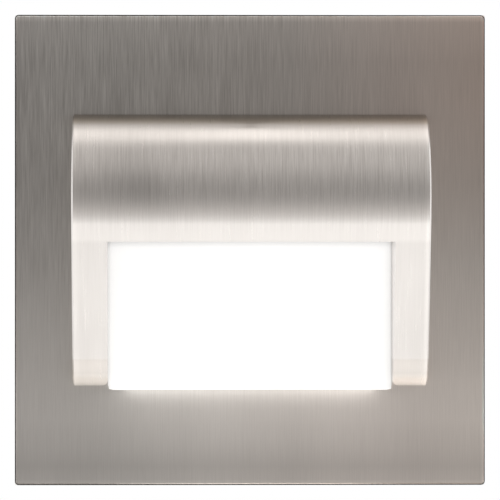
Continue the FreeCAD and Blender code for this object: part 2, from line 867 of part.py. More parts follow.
def draw_pin_holes(half_width, half_height, places):
    """A drawing of equal rectangular holes, half_width and half_height about each place."""
    def draw(sketch):
        for x, z in places:
            draw_rectangle(sketch, x - half_width, x + half_width, z - half_height, z + half_height)
    return draw


def draw_led_board(sketch):
    draw_cut_corners(sketch, led_half, led_rise, cell("led_board_cut"), ZERO)


def make_led_board():
    body = new_body("led_board")
    pin_hole_half = cell("link_pin_width") / 2 + cell("slot_gap")
    pad_slab(body, "board_plate", led_board_front, led_board_back, draw_led_board)
    pocket_slab(body, "board_link_holes", led_board_front, led_board_back,
                draw_pin_holes(pin_hole_half, pin_hole_half, link_places))
    finish(body, "led_board")


def make_leds():
    lamps = []
    front = led_board_front - cell("led_thickness")
    for row in (-1, 1):
        for column in (-1, 0, 1):
            x, z = cell("led_pitch_x") * column, cell("led_pitch_z") * (row / 2)
            name = f"led_{len(lamps) + 1}"
            case = block(name + "_case", x - cell("led_width") / 2, x + cell("led_width") / 2, front,
                         led_board_front, z - cell("led_height") / 2, z + cell("led_height") / 2)
            well_half = cell("led_width") / 2 - cell("led_rim")
            well_rise = cell("led_height") / 2 - cell("led_rim")
            well = block(name + "_well", x - well_half, x + well_half, front, front + cell("led_well_depth"),
                         z - well_rise, z + well_rise)
            lamps.append(cut(name, case, well))
    finish(group("leds", lamps), "leds")


def make_thermal_pad():
    body = new_body("thermal_pad")
    half, rise = led_half - cell("pad_inset"), led_rise - cell("pad_inset")
    pad_slab(body, "pad_sheet", led_board_back, spreader_front,
             lambda sketch: draw_rectangle(sketch, -half, half, -rise, rise))
    pocket_slab(body, "pad_slot", led_board_back, spreader_front, draw_link_slot)
    finish(body, "thermal_pad")


def make_heat_spreader():
    """An aluminium plate with four tabs folded back; their tongues pass through the driver board."""
    body = new_body("heat_spreader")
    inside = led_half - cell("spreader_thickness")

    def draw_tabs(half_width):
        def draw(sketch):
            for side, z in tab_places:
                near, far = (inside, led_half) if side > 0 else (-led_half, -inside)
                draw_rectangle(sketch, near, far, z - half_width, z + half_width)
        return draw

    pad_slab(body, "spreader_plate", spreader_front, spreader_back, draw_led_board)
    pocket_slab(body, "spreader_slot", spreader_front, spreader_back, draw_link_slot)
    pad_slab(body, "spreader_tabs", spreader_back, driver_front, draw_tabs(tab_half))
    pad_slab(body, "spreader_tongues", driver_front, driver_back + cell("tongue_tail"),
             draw_tabs(tongue_half))
    finish(body, "heat_spreader")


make_led_board()
make_leds()
make_thermal_pad()
make_heat_spreader()

# ---------------------------------------------------------------- driver board and its parts

terminal_bottom = cell("terminal_inset") - cell("cover_radius")
terminal_top = terminal_bottom + cell("terminal_depth")
chamber_bottom = terminal_bottom + cell("terminal_wall")
chamber_top = terminal_top - cell("terminal_wall")
contact_pin_z = chamber_top - cell("contact_thickness") / 2
pole_places = {"plus": cell("terminal_pitch") / 2, "minus": -cell("terminal_pitch") / 2}
BRIDGE_LEADS = 2
CHIP_LEADS = 4
RESISTOR_COUNT = 3


def make_driver_board():
    body = new_body("driver_board")
    gap = cell("slot_gap")
    tongue_x = led_half - cell("spreader_thickness") / 2
    pin_hole_half = cell("link_pin_width") / 2 + gap
    half = cover_inner - cell("driver_board_gap")
    notch_rise = cell("column_radius") + cell("column_gap")
    pad_slab(body, "driver_plate", driver_front, driver_back,
             lambda sketch: draw_cut_corners(sketch, half, half, cell("driver_board_cut"), ZERO))
    for side, side_name in ((1, "right"), (-1, "left")):
        notch_end = (post_x - notch_rise) * side
        low, high = (notch_end, half * side) if side > 0 else (half * side, notch_end)
        pocket_slab(body, side_name + "_notch", driver_front, driver_back,
                    lambda sketch: draw_rectangle(sketch, low, high, -notch_rise, notch_rise))
    pocket_slab(body, "driver_tongue_slots", driver_front, driver_back,
                draw_pin_holes(cell("spreader_thickness") / 2 + gap, tongue_half + gap,
                               [(tongue_x * side, z) for side, z in tab_places]))
    pocket_slab(body, "driver_link_holes", driver_front, driver_back,
                draw_pin_holes(pin_hole_half, pin_hole_half, link_places))
    pocket_slab(body, "driver_contact_holes", driver_front, driver_back,
                draw_pin_holes(cell("contact_pin_width") / 2 + gap, cell("contact_thickness") / 2 + gap,
                               [(x, contact_pin_z) for x in pole_places.values()]))
    finish(body, "driver_board")


def make_capacitor():
    """A round can standing on the board."""
    body = new_body("input_capacitor")
    pad_slab(body, "capacitor_can", driver_back, driver_back + cell("capacitor_height"),
             circles(cell("capacitor_radius"), [(ZERO, cell("capacitor_z"))]))
    finish(body, "input_capacitor")


def make_inductor():
    """A shielded coil in a square ferrite case with cut corners."""
    body = new_body("power_inductor")
    half, corner, z = cell("inductor_width") / 2, cell("inductor_corner"), cell("inductor_z")
    top = driver_back + cell("inductor_height")
    pad_slab(body, "inductor_case", driver_back, top,
             lambda sketch: draw_cut_corners(sketch, half, half, corner, z))
    finish(body, "power_inductor")


def make_package(name, x, z, width, length, height, lead_count, pitch, lead_width, reach):
    """A moulded chip on the board's front; lead_count bent leads stand in a row on each long side."""
    thickness = cell("lead_thickness")
    case_front = driver_front - height
    case_back = driver_front - thickness / 2
    half_way = driver_front - height / 2
    solids = [block(name + "_case", x - width / 2, x + width / 2, case_front, case_back,
                    z - length / 2, z + length / 2)]
    for way in (-1, 1):
        for number in range(lead_count):
            left = x + pitch * (number - (lead_count - 1) / 2) - lead_width / 2
            side = z + length * (way / 2)
            end = side + reach * way
            knee = side + cell("lead_shoulder") * way
            label = f"{name}_lead_{len(solids)}"
            low, high = (side, knee) if way > 0 else (knee, side)
            shoulder = block(label + "_shoulder", left, left + lead_width, half_way, half_way + thickness,
                             low, high)
            leg_far = knee - thickness * way
            low, high = (leg_far, knee) if way > 0 else (knee, leg_far)
            leg = block(label + "_leg", left, left + lead_width, half_way, driver_front, low, high)
            low, high = (knee, end) if way > 0 else (end, knee)
            foot = block(label + "_foot", left, left + lead_width, driver_front - thickness, driver_front,
                         low, high)
            solids.append(joined(label, [shoulder, leg, foot]))
    finish(joined(name, solids), name)


def make_resistors():
    chips = []
    cap = cell("resistor_cap")
    for number in range(RESISTOR_COUNT):
        x, z = cell("resistor_x"), cell("resistor_z") - cell("resistor_pitch") * number
        left, right = x - cell("resistor_length") / 2, x + cell("resistor_length") / 2
        bottom, top = z - cell("resistor_width") / 2, z + cell("resistor_width") / 2
        front = driver_front - cell("resistor_height")
        name = f"resistor_{number + 1}"
        core = block(name + "_core", left + cap, right - cap, front + cell("resistor_cap_rise"),
                     driver_front, bottom, top)
        left_cap = block(name + "_left", left, left + cap, front, driver_front, bottom, top)
        right_cap = block(name + "_right", right - cap, right, front, driver_front, bottom, top)
        chips.append(joined(name, [core, left_cap, right_cap]))
    finish(group("sense_resistors", chips), "sense_resistors")


def make_link():
    """Two pins in a plastic strip, which carry the lamps' current from one board to the other."""
    half = cell("link_pin_width") / 2
    pins, holes = [], []
    block_front = driver_front - cell("link_block_height")
    block_half = cell("link_pitch")
    low, high = cell("link_z") - cell("link_block_width") / 2, cell("link_z") + cell("link_block_width") / 2
    for number, (x, z) in enumerate(link_places, start=1):
        pins.append(block(f"link_pin_{number}", x - half, x + half, led_board_front,
                          driver_back + cell("link_pin_tail"), z - half, z + half))
        holes.append(block(f"link_hole_{number}", x - half, x + half, block_front, driver_front,
                           z - half, z + half))
    strip = block("link_strip", -block_half, block_half, block_front, driver_front, low, high)
    finish(cut("link_block", strip, joined("link_holes", holes)), "link_block")
    finish(group("link_pins", pins), "link_pins")


make_driver_board()
make_capacitor()
make_inductor()
make_package("bridge_rectifier", cell("bridge_x"), ZERO, cell("bridge_width"), cell("bridge_depth"),
             cell("bridge_height"), BRIDGE_LEADS, cell("bridge_lead_pitch"), cell("bridge_lead_width"),
             cell("bridge_lead_length"))
make_package("driver_chip", cell("chip_x"), cell("chip_z"), cell("chip_length"), cell("chip_width"),
             cell("chip_height"), CHIP_LEADS, cell("chip_lead_pitch"), cell("chip_lead_width"),
             cell("chip_lead_length"))
make_resistors()
make_link()

# ---------------------------------------------------------------- rear cover

pivot_x = cell("cover_radius") + cell("spring_pivot_out")
pivot_y = cover_back - cell("spring_pivot_inset")
bead_radius = cell("spring_bead_radius")
socket_radius = bead_radius + cell("socket_gap")
socket_outer = socket_radius + cell("socket_wall")
socket_floor = -(cell("spring_width") / 2 + cell("socket_end_gap"))
socket_top = cell("spring_width") / 2 + cell("socket_end_gap")
terminal_half = cell("terminal_width") / 2


def make_rear_cover():
    body = new_body("rear_cover")
    head_back = column_seat + cell("cover_screw_head_height")
    counterbore = cell("cover_screw_head_radius") + cell("counterbore_gap")
    screw_hole = cell("cover_screw_radius") + cell("clearance_hole_gap")
    bay_half = terminal_half + cell("bay_gap")

    pad_slab(body, "cover_block", collar_seat, cover_back, circles(cell("cover_radius"), [(ZERO, ZERO)]))
    pocket_slab(body, "cover_hollow", collar_seat, cover_floor, circles(cover_inner, [(ZERO, ZERO)]))
    pad_slab(body, "cover_columns", column_front, cover_floor,
             circles(cell("column_radius"), post_places))
    for side, side_name in ((1, "right"), (-1, "left")):
        make_socket(body, side_name + "_socket", side)
    pocket_slab(body, "column_holes", column_front, head_back, circles(screw_hole, post_places))
    pocket_slab(body, "column_counterbores", column_seat, cover_back, circles(counterbore, post_places))
    pocket_slab(body, "terminal_bay", driver_back + cell("bay_gap"), cover_back,
                lambda sketch: draw_rectangle(sketch, -bay_half, bay_half,
                                              -cell("cover_radius") - cell("overrun"),
                                              terminal_top + cell("bay_gap")))
    finish(body, "rear_cover")


def make_socket(body, name, side):
    """A C-shaped socket beside the cover, closed below, for the rolled bead of one leaf spring."""
    centre = pivot_x * side
    inner = (cover_inner + cell("cover_wall") / 2) * side
    near, far = (inner, centre) if side > 0 else (centre, inner)
    opening = centre + cell("socket_mouth") * side
    beyond = socket_outer + cell("overrun")
    outside = centre + beyond * side
    low, high = (opening, outside) if side > 0 else (outside, opening)
    bottom = socket_floor - cell("socket_floor")
    pad_upright(body, name + "_web", bottom, socket_top,
                lambda sketch: draw_rectangle(sketch, near, far, pivot_y - socket_outer,
                                              pivot_y + socket_outer))
    pad_upright(body, name + "_round", bottom, socket_top,
                lambda sketch: draw_circle(sketch, socket_outer, centre, pivot_y))
    pocket_upright(body, name + "_bore", socket_floor, socket_top,
                   lambda sketch: draw_circle(sketch, socket_radius, centre, pivot_y))
    pocket_upright(body, name + "_mouth", socket_floor, socket_top,
                   lambda sketch: draw_rectangle(sketch, low, high, pivot_y - beyond, pivot_y))


make_rear_cover()

# ---------------------------------------------------------------- terminal


def upright_rod(name, radius, x, y, bottom, top):
    """A cylinder along Z."""
    item = doc.addObject("Part::Cylinder", name)
    bind(item, "Radius", radius)
    bind(item, "Height", top - bottom)
    bind(item, "Placement.Base.x", x)
    bind(item, "Placement.Base.y", y)
    bind(item, "Placement.Base.z", bottom)
    return item


chamber_back = terminal_back - cell("terminal_roof")
recess_floor = terminal_back - cell("terminal_recess")
contact_front = driver_back + cell("contact_rise")
contact_back = contact_front + cell("contact_thickness")
wire_y = driver_back + cell("wire_hole_rise")
screw_z = (chamber_bottom + chamber_top - cell("contact_thickness")) / 2
cage_front = driver_back + cell("cage_lift_gap")


def make_terminal_body():
    case = block("terminal_case", -terminal_half, terminal_half, driver_back, terminal_back,
                 terminal_bottom, terminal_top)
    hollows = []
    for pole, x in pole_places.items():
        half = cell("terminal_chamber") / 2
        hollows.append(block(f"chamber_{pole}", x - half, x + half, driver_back, chamber_back,
                             chamber_bottom, chamber_top))
        hollows.append(upright_rod(f"wire_hole_{pole}", cell("wire_hole_radius"), x, wire_y,
                                   terminal_bottom, chamber_bottom))
        hollows.append(rod(f"screw_way_{pole}", cell("terminal_screw_radius") + cell("terminal_screw_gap"),
                           chamber_back, terminal_back, x, screw_z))
        hollows.append(rod(f"head_recess_{pole}",
                           cell("terminal_screw_head_radius") + cell("terminal_screw_gap"),
                           recess_floor, terminal_back, x, screw_z))
    finish(cut("terminal_body", case, joined("terminal_hollows", hollows)), "terminal_body")


def make_contacts():
    """Each pole's bar lies across its chamber, turns forward at the end and ends in a pin in the board."""
    contacts = []
    half, pin_half = cell("contact_width") / 2, cell("contact_pin_width") / 2
    thickness = cell("contact_thickness")
    bar_bottom = screw_z - cell("cage_depth") / 2
    for pole, x in pole_places.items():
        bar = block(f"bar_{pole}", x - half, x + half, contact_front, contact_back, bar_bottom, chamber_top)
        leg = block(f"leg_{pole}", x - half, x + half, driver_back, contact_back,
                    chamber_top - thickness, chamber_top)
        pin = block(f"pin_{pole}", x - pin_half, x + pin_half, driver_front - cell("contact_pin_tail"),
                    driver_back, chamber_top - thickness, chamber_top)
        contacts.append(joined(f"contact_{pole}", [bar, leg, pin]))
    finish(group("terminal_contacts", contacts), "terminal_contacts")


def make_cage(name, x):
    """The clamping frame round the contact bar; its thread rides on the screw."""
    half, side = cell("cage_width") / 2, cell("cage_side_thickness")
    window_front = cage_front + cell("cage_bar_thickness")
    window_back = window_front + cell("cage_window")
    cage_back = window_back + cell("cage_top_thickness")
    low, high = screw_z - cell("cage_depth") / 2, screw_z + cell("cage_depth") / 2
    frame = block(name + "_frame", x - half, x + half, cage_front, cage_back, low, high)
    window = block(name + "_window", x - half + side, x + half - side, window_front, window_back, low, high)
    thread = rod(name + "_thread", cell("terminal_screw_radius") + cell("thread_gap"), window_back,
                 cage_back, x, screw_z)
    finish(cut(name, frame, joined(name + "_hollows", [window, thread])), name)


def make_terminal_screw(name, x):
    """A slotted screw whose head is held in the roof and whose tip bears on the contact bar."""
    head_back = recess_floor + cell("terminal_screw_head_height")
    head_radius, half = cell("terminal_screw_head_radius"), cell("slot_width") / 2
    head = rod(name + "_head", head_radius, recess_floor, head_back, x, screw_z)
    shank = rod(name + "_shank", cell("terminal_screw_radius"), contact_back + cell("tip_gap"),
                recess_floor, x, screw_z)
    slot = block(name + "_slot", x - head_radius, x + head_radius, head_back - cell("slot_depth"),
                 head_back, screw_z - half, screw_z + half)
    finish(cut(name, joined(name + "_whole", [head, shank]), slot), name)


make_terminal_body()
make_contacts()
for pole, x in pole_places.items():
    make_cage(f"terminal_cage_{pole}", x)
    make_terminal_screw(f"terminal_screw_{pole}", x)

# ---------------------------------------------------------------- leaf springs


def draw_spring(sketch):
    """The right spring's edge: a rolled bead, a straight leaf that flares outwards, a turned-in tip."""
    gauge, length = cell("spring_gauge"), cell("spring_straight")
    flare = math.radians(float(cell("spring_flare_angle")))
    turn = math.radians(float(cell("spring_tip_angle")))
    roll = math.radians(float(cell("spring_roll_angle")))
    axis = FreeCAD.Vector(0, 0, 1)
    outward = FreeCAD.Vector(math.cos(flare), math.sin(flare), 0)
    along = FreeCAD.Vector(math.sin(flare), -math.cos(flare), 0)
    pivot = vector(pivot_x, pivot_y)
    bead_inner = bead_radius - gauge
    tip_outer = cell("spring_tip_radius") + gauge / 2
    tip_inner = cell("spring_tip_radius") - gauge / 2
    tip_centre = pivot + outward * (float(bead_radius) - float(tip_outer)) + along * float(length)

    def arc(centre, radius, start, end):
        return sketch.addGeometry(Part.ArcOfCircle(Part.Circle(centre, axis, float(radius)), start, end))

    def line(start, end):
        return sketch.addGeometry(Part.LineSegment(sketch.getPoint(*start), sketch.getPoint(*end)))

    bead_in = arc(pivot, bead_inner, flare, flare + roll)
    bead_out = arc(pivot, bead_radius, flare, flare + roll)
    tip_in = arc(tip_centre, tip_inner, flare - turn, flare)
    tip_out = arc(tip_centre, tip_outer, flare - turn, flare)
    leaf_in = line((bead_in, 1), (tip_in, 2))
    leaf_out = line((bead_out, 1), (tip_out, 2))
    tip_end = line((tip_in, 1), (tip_out, 1))
    bead_end = line((bead_in, 2), (bead_out, 2))
    for bead, leaf, tip in ((bead_in, leaf_in, tip_in), (bead_out, leaf_out, tip_out)):
        sketch.addConstraint(Sketcher.Constraint("Tangent", bead, 1, leaf, 1))
        sketch.addConstraint(Sketcher.Constraint("Tangent", leaf, 2, tip, 2))
    sketch.addConstraint(Sketcher.Constraint("Coincident", bead_in, 3, bead_out, 3))
    sketch.addConstraint(Sketcher.Constraint("Coincident", tip_in, 3, tip_out, 3))
    sketch.addConstraint(Sketcher.Constraint("Coincident", tip_end, 1, tip_in, 1))
    sketch.addConstraint(Sketcher.Constraint("Coincident", tip_end, 2, tip_out, 1))
    sketch.addConstraint(Sketcher.Constraint("Coincident", bead_end, 1, bead_in, 2))
    sketch.addConstraint(Sketcher.Constraint("Coincident", bead_end, 2, bead_out, 2))
    place_point(sketch, bead_in, 3, pivot_x, pivot_y)
    dimension(sketch, "Radius", (bead_in,), bead_inner)
    dimension(sketch, "Radius", (bead_out,), bead_radius)
    dimension(sketch, "Radius", (tip_in,), tip_inner)
    dimension(sketch, "Distance", (leaf_in,), length)


def make_springs():
    body = new_body("spring_right")
    half = cell("spring_width") / 2
    pad_upright(body, "spring_leaf", -half, half, draw_spring)
    finish(body, "spring_right")
    mirror = doc.addObject("Part::Mirroring", "spring_left")
    mirror.Source = body
    mirror.Normal = FreeCAD.Vector(1, 0, 0)
    finish(mirror, "spring_left")


make_springs()

# ---------------------------------------------------------------- write the pieces

doc.recompute()
for item in doc.Objects:
    assert not {"Invalid", "Error"} & set(item.State), f"{item.Label}: {item.State}"
os.makedirs("parts", exist_ok=True)
for item in nodes:
    assert not item.Shape.isNull() and item.Shape.isValid(), item.Label
    item.Shape.exportStep(f"parts/{item.Label}.step")
    print(f"{item.Label}: {len(item.Shape.Solids)} solid(s), {item.Shape.Volume:.1f} mm3")
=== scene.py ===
# %% [markdown]
# # A step light in brushed steel
#
# A step light sits low in a wall beside a stair. What shows is a square plate of brushed
# stainless steel, a cast hood on it, and a lit opal window under the hood. Everything else
# is behind the plate: a white tray, the lamp board, the driver and a black rear cover.
#
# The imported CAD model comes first, because each piece made here sits on it. It has the real
# sizes, in metres, with the front of the light towards -Y and up along +Z.

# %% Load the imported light
import json
import math

import bmesh
import bpy
from mathutils import Matrix, Vector, noise as field


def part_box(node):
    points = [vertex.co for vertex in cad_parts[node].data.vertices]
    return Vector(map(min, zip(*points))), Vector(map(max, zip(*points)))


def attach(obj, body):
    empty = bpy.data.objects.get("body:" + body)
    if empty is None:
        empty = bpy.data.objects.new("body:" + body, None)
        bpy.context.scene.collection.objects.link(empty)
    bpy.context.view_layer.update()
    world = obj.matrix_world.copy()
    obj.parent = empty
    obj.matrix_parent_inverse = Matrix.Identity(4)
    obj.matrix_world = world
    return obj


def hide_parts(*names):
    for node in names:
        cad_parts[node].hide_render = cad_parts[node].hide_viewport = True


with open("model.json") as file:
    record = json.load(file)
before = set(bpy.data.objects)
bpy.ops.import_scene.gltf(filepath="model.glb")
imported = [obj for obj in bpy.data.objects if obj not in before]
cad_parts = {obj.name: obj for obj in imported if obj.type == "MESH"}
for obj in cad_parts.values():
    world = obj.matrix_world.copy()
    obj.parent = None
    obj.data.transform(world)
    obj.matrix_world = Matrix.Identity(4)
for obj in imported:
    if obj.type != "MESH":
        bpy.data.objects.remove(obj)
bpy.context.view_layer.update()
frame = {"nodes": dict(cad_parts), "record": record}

nodes = frame["nodes"]
record = frame["record"]
MM = 0.001
print("pieces from the CAD:", len(nodes))

# %% [markdown]
# ## The camera
#
# The photograph is taken from straight ahead, a little left of the middle, with a long lens.
# A long lens far away keeps the square plate square. Its distance comes from how much larger
# the hood's nose looks than it would at the plate's own depth.

# %% Camera straight ahead of the plate
CAMERA_AWAY = 690 * MM
CAMERA_ASIDE = -12 * MM
LENS = 311.5
SENSOR_WIDTH = 36
CLIP_START, CLIP_END = 0.05, 10
plate_face_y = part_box("face_plate")[0].y
aim = Vector((0, plate_face_y, 0))

camera_data = bpy.data.cameras.new("camera")
camera_data.lens = LENS
camera_data.sensor_width = SENSOR_WIDTH
camera_data.clip_start, camera_data.clip_end = CLIP_START, CLIP_END
camera = bpy.data.objects.new("camera", camera_data)
camera.location = (CAMERA_ASIDE, plate_face_y - CAMERA_AWAY, 0)
camera.rotation_mode = "QUATERNION"
camera.rotation_quaternion = (aim - camera.location).to_track_quat("-Z", "Y")
bpy.context.scene.collection.objects.link(camera)
bpy.context.scene.camera = camera
bpy.context.scene.view_settings.view_transform = "Standard"
print("camera distance:", round((aim - camera.location).length, 4))

# %% [markdown]
# ## Small helpers for node materials
#
# Every finish here is a node material. These helpers add a node, join two sockets and set a
# number, so that each finish below reads as a short list of what it is made of. They could be
# written out for each material, but then one change of mind would mean twenty edits.

# %% Helpers for node trees
MIX_FIRST, MIX_SECOND, MIX_RESULT = 6, 7, 2  # the Mix node's sockets for colours


def new_material(name):
    """An empty node material with its output and one Principled shader."""
    material = bpy.data.materials.new(name)
    material.use_nodes = True
    tree = material.node_tree
    tree.nodes.clear()
    output = tree.nodes.new("ShaderNodeOutputMaterial")
    shader = tree.nodes.new("ShaderNodeBsdfPrincipled")
    tree.links.new(shader.outputs["BSDF"], output.inputs["Surface"])
    return material, tree, shader


def wire(tree, start, end):
    """Join an output to an input."""
    tree.links.new(start, end)


def math_node(tree, operation, first, second):
    """One sum of two numbers; each is a socket or a plain number."""
    node = tree.nodes.new("ShaderNodeMath")
    node.operation = operation
    for place, value in enumerate((first, second)):
        if isinstance(value, (int, float)):
            node.inputs[place].default_value = value
        else:
            wire(tree, value, node.inputs[place])
    return node.outputs[0]


def blend_node(tree, kind, share, first, second):
    """Two colours put together by MIX or MULTIPLY, no brighter than white; share is a socket or a number."""
    node = tree.nodes.new("ShaderNodeMix")
    node.data_type = "RGBA"
    node.blend_type = kind
    if isinstance(share, (int, float)):
        node.inputs[0].default_value = share
    else:
        wire(tree, share, node.inputs[0])
    wire(tree, first, node.inputs[MIX_FIRST])
    wire(tree, second, node.inputs[MIX_SECOND])
    node.clamp_result = True
    return node.outputs[MIX_RESULT]


def ramp(tree, factor, stops):
    """A colour ramp: stops are (position, (r, g, b))."""
    node = tree.nodes.new("ShaderNodeValToRGB")
    elements = node.color_ramp.elements
    while len(elements) < len(stops):
        elements.new(0.5)
    for element, (position, colour) in zip(elements, stops):
        element.position = position
        element.color = (*colour, 1)
    wire(tree, factor, node.inputs["Fac"])
    return node.outputs["Color"]


def grey(level):
    """An even grey of this level."""
    return (level, level, level)


print("a Mix node gives its colour at output", MIX_RESULT)

# %% [markdown]
# ## Noise, places and relief
#
# Grain, scratches and slow changes of shade come from a noise, or from how far a point lies
# along an axis. Both are read in the object's own metres, so they stay on the piece when it
# moves. A picture wrapped round the piece could do it too, but it would need a map of every
# surface.

# %% Helpers for noise, places and relief
def noise(tree, scale, stretch=(1, 1, 1), detail=3, roughness=0.55):
    """Noise on the object's own metres; stretch is how fast it varies along x, y and z."""
    coordinates = tree.nodes.new("ShaderNodeTexCoord")
    mapping = tree.nodes.new("ShaderNodeMapping")
    mapping.inputs["Scale"].default_value = stretch
    texture = tree.nodes.new("ShaderNodeTexNoise")
    texture.inputs["Scale"].default_value = scale
    texture.inputs["Detail"].default_value = detail
    texture.inputs["Roughness"].default_value = roughness
    wire(tree, coordinates.outputs["Object"], mapping.inputs["Vector"])
    wire(tree, mapping.outputs["Vector"], texture.inputs["Vector"])
    return texture.outputs["Fac"]


def along(tree, axis, low, high):
    """How far a point lies from low to high on one axis of the object, in mm, from 0 to 1."""
    coordinates = tree.nodes.new("ShaderNodeTexCoord")
    split = tree.nodes.new("ShaderNodeSeparateXYZ")
    span = tree.nodes.new("ShaderNodeMapRange")
    span.inputs["From Min"].default_value = low * MM
    span.inputs["From Max"].default_value = high * MM
    wire(tree, coordinates.outputs["Object"], split.inputs["Vector"])
    wire(tree, split.outputs[axis], span.inputs["Value"])
    return span.outputs[0]


def ramp_along(tree, axis, stops):
    """A colour that changes along one axis: stops are (place in mm, (r, g, b))."""
    low, high = stops[0][0], stops[-1][0]
    placed = [((place - low) / (high - low), colour) for place, colour in stops]
    return ramp(tree, along(tree, axis, low, high), placed)


def bump(tree, shader, height, strength, distance):
    """A fine relief from a height between 0 and 1; distance is its depth in metres."""
    node = tree.nodes.new("ShaderNodeBump")
    node.inputs["Strength"].default_value = strength
    node.inputs["Distance"].default_value = distance
    wire(tree, height, node.inputs["Height"])
    wire(tree, node.outputs["Normal"], shader.inputs["Normal"])


print("noise scale for a grain of a millimetre:", round(1 / MM))

# %% [markdown]
# ## Brushed stainless steel
#
# The plate and the hood are brushed top to bottom with an abrasive belt. The scratches are
# under a tenth of a millimetre wide and many millimetres long. They could be modelled one by
# one, but there are thousands, so a noise that is stretched along Z draws them: once in the
# colour, once in the roughness and once as a relief. The anisotropic shader then spreads each
# reflection across the scratches, which is what makes brushed metal look soft sideways.
#
# Where the light falls flat on the steel the scratches fade from sight, so each finish also
# takes a list of places where it is calmer.

# %% The brushed steel of plate and hood
FINE_SCALE, FINE_STRETCH = 5200, (1, 0.028, 0.028)
BROAD_SCALE, BROAD_STRETCH = 1040, (1, 0.05, 0.05)
PATCH_SCALE, PATCH_STRETCH = 55, (1, 0.5, 0.5)
FINE_SHARE, BROAD_SHARE = 0.78, 0.22
STEEL_METALLIC = 0.92
STEEL_ANISOTROPY = 0.65
SCRATCH_STRENGTH, SCRATCH_DEPTH = 0.10, 0.02 * MM


def brushed_steel(name, dark, light, roughness, painted_light_by_height, painted_light_by_width, calm, shades):
    """Brushed metal between two tones.

    The stops by height and by width are painted light and shade along Z and X, calm lists (axis,
    stops) of how far the scratches fade, and shades are functions of (tree, patch) for soft tints
    laid over it all.
    """
    material, tree, shader = new_material(name)
    fine = noise(tree, FINE_SCALE, FINE_STRETCH, roughness=0.6)
    broad = noise(tree, BROAD_SCALE, BROAD_STRETCH)
    patch = noise(tree, PATCH_SCALE, PATCH_STRETCH)
    shade = math_node(tree, "ADD", math_node(tree, "MULTIPLY", fine, FINE_SHARE),
                      math_node(tree, "MULTIPLY", broad, BROAD_SHARE))
    middle = tuple((low + high) / 2 for low, high in zip(dark, light))
    scratched = ramp(tree, shade, [(0.36, dark), (0.5, middle), (0.64, light)])
    even = ramp(tree, patch, [(0.0, middle), (1.0, middle)])
    fade = 0.0
    for axis, stops in calm:
        here = ramp_along(tree, axis, [(place, grey(level)) for place, level in stops])
        fade = math_node(tree, "MAXIMUM", here, fade)
    tone = blend_node(tree, "MIX", fade, scratched, even)
    # The stops by height and by width lay painted light and shade over the brushed tone.
    layers = [ramp(tree, patch, [(0.3, grey(0.93)), (0.62, grey(1.0))]),
              ramp_along(tree, "Z", painted_light_by_height), ramp_along(tree, "X", painted_light_by_width)]
    for layer in layers + [shade_over(tree, patch) for shade_over in shades]:
        tone = blend_node(tree, "MULTIPLY", 1.0, tone, layer)
    wire(tree, tone, shader.inputs["Base Color"])
    wire(tree, ramp(tree, shade, [(0.3, grey(roughness + 0.05)), (0.7, grey(roughness - 0.04))]),
         shader.inputs["Roughness"])
    shader.inputs["Metallic"].default_value = STEEL_METALLIC
    shader.inputs["Anisotropic"].default_value = STEEL_ANISOTROPY
    tangent = tree.nodes.new("ShaderNodeTangent")
    tangent.direction_type = "RADIAL"
    tangent.axis = "Z"
    wire(tree, tangent.outputs["Tangent"], shader.inputs["Tangent"])
    bump(tree, shader, fine, SCRATCH_STRENGTH, SCRATCH_DEPTH)
    return material


print("scratches per metre, fine and broad:", FINE_SCALE, BROAD_SCALE)

# %% [markdown]
# ## Shades in one spot
#
# Three tints lie in one spot each: a painted warm reflection on the plate's upper right, painted
# light from the window on the steel under it, and a darker cloud on the hood's left. Lamps could
# be set up for all this, but a tint stays where it is put, so each spot is a small function that
# gives a tint.

# %% Three spots of shade
CLOUD_PLACE = (-17.6 * MM, -20.2 * MM, 10.2 * MM)
CLOUD_REACH = 10 * MM
CLOUD_RAGGED = 0.35


def painted_warm_reflection(tree, patch):
    """A painted warm reflection on the plate's upper right."""
    share = math_node(tree, "MULTIPLY", along(tree, "X", 6, 36), along(tree, "Z", -2, 24))
    return ramp(tree, share, [(0.0, grey(1.0)), (1.0, (0.97, 0.89, 0.855))])


def window_spill(tree, patch):
    """The window's light brightens the middle of the plate below it."""
    across = math_node(tree, "MULTIPLY", along(tree, "X", -26, -2), along(tree, "X", 26, 2))
    down = math_node(tree, "MULTIPLY", along(tree, "Z", -22, -30), along(tree, "Z", -50, -29))
    share = math_node(tree, "MULTIPLY", across, down)
    return ramp(tree, share, [(0.0, grey(1.0)), (1.0, (1.16, 1.165, 1.17))])


def dark_cloud(tree, patch):
    """A soft darker cloud on the hood's left."""
    coordinates = tree.nodes.new("ShaderNodeTexCoord")
    reach = tree.nodes.new("ShaderNodeVectorMath")
    reach.operation = "DISTANCE"
    wire(tree, coordinates.outputs["Object"], reach.inputs[0])
    reach.inputs[1].default_value = CLOUD_PLACE
    ragged = math_node(tree, "ADD", math_node(tree, "MULTIPLY", reach.outputs["Value"], 1 / CLOUD_REACH),
                       math_node(tree, "MULTIPLY", patch, CLOUD_RAGGED))
    return ramp(tree, ragged, [(0.25, grey(0.84)), (0.55, grey(0.93)), (0.95, grey(1.0))])


print("the cloud on the hood reaches", round(CLOUD_REACH / MM), "mm")
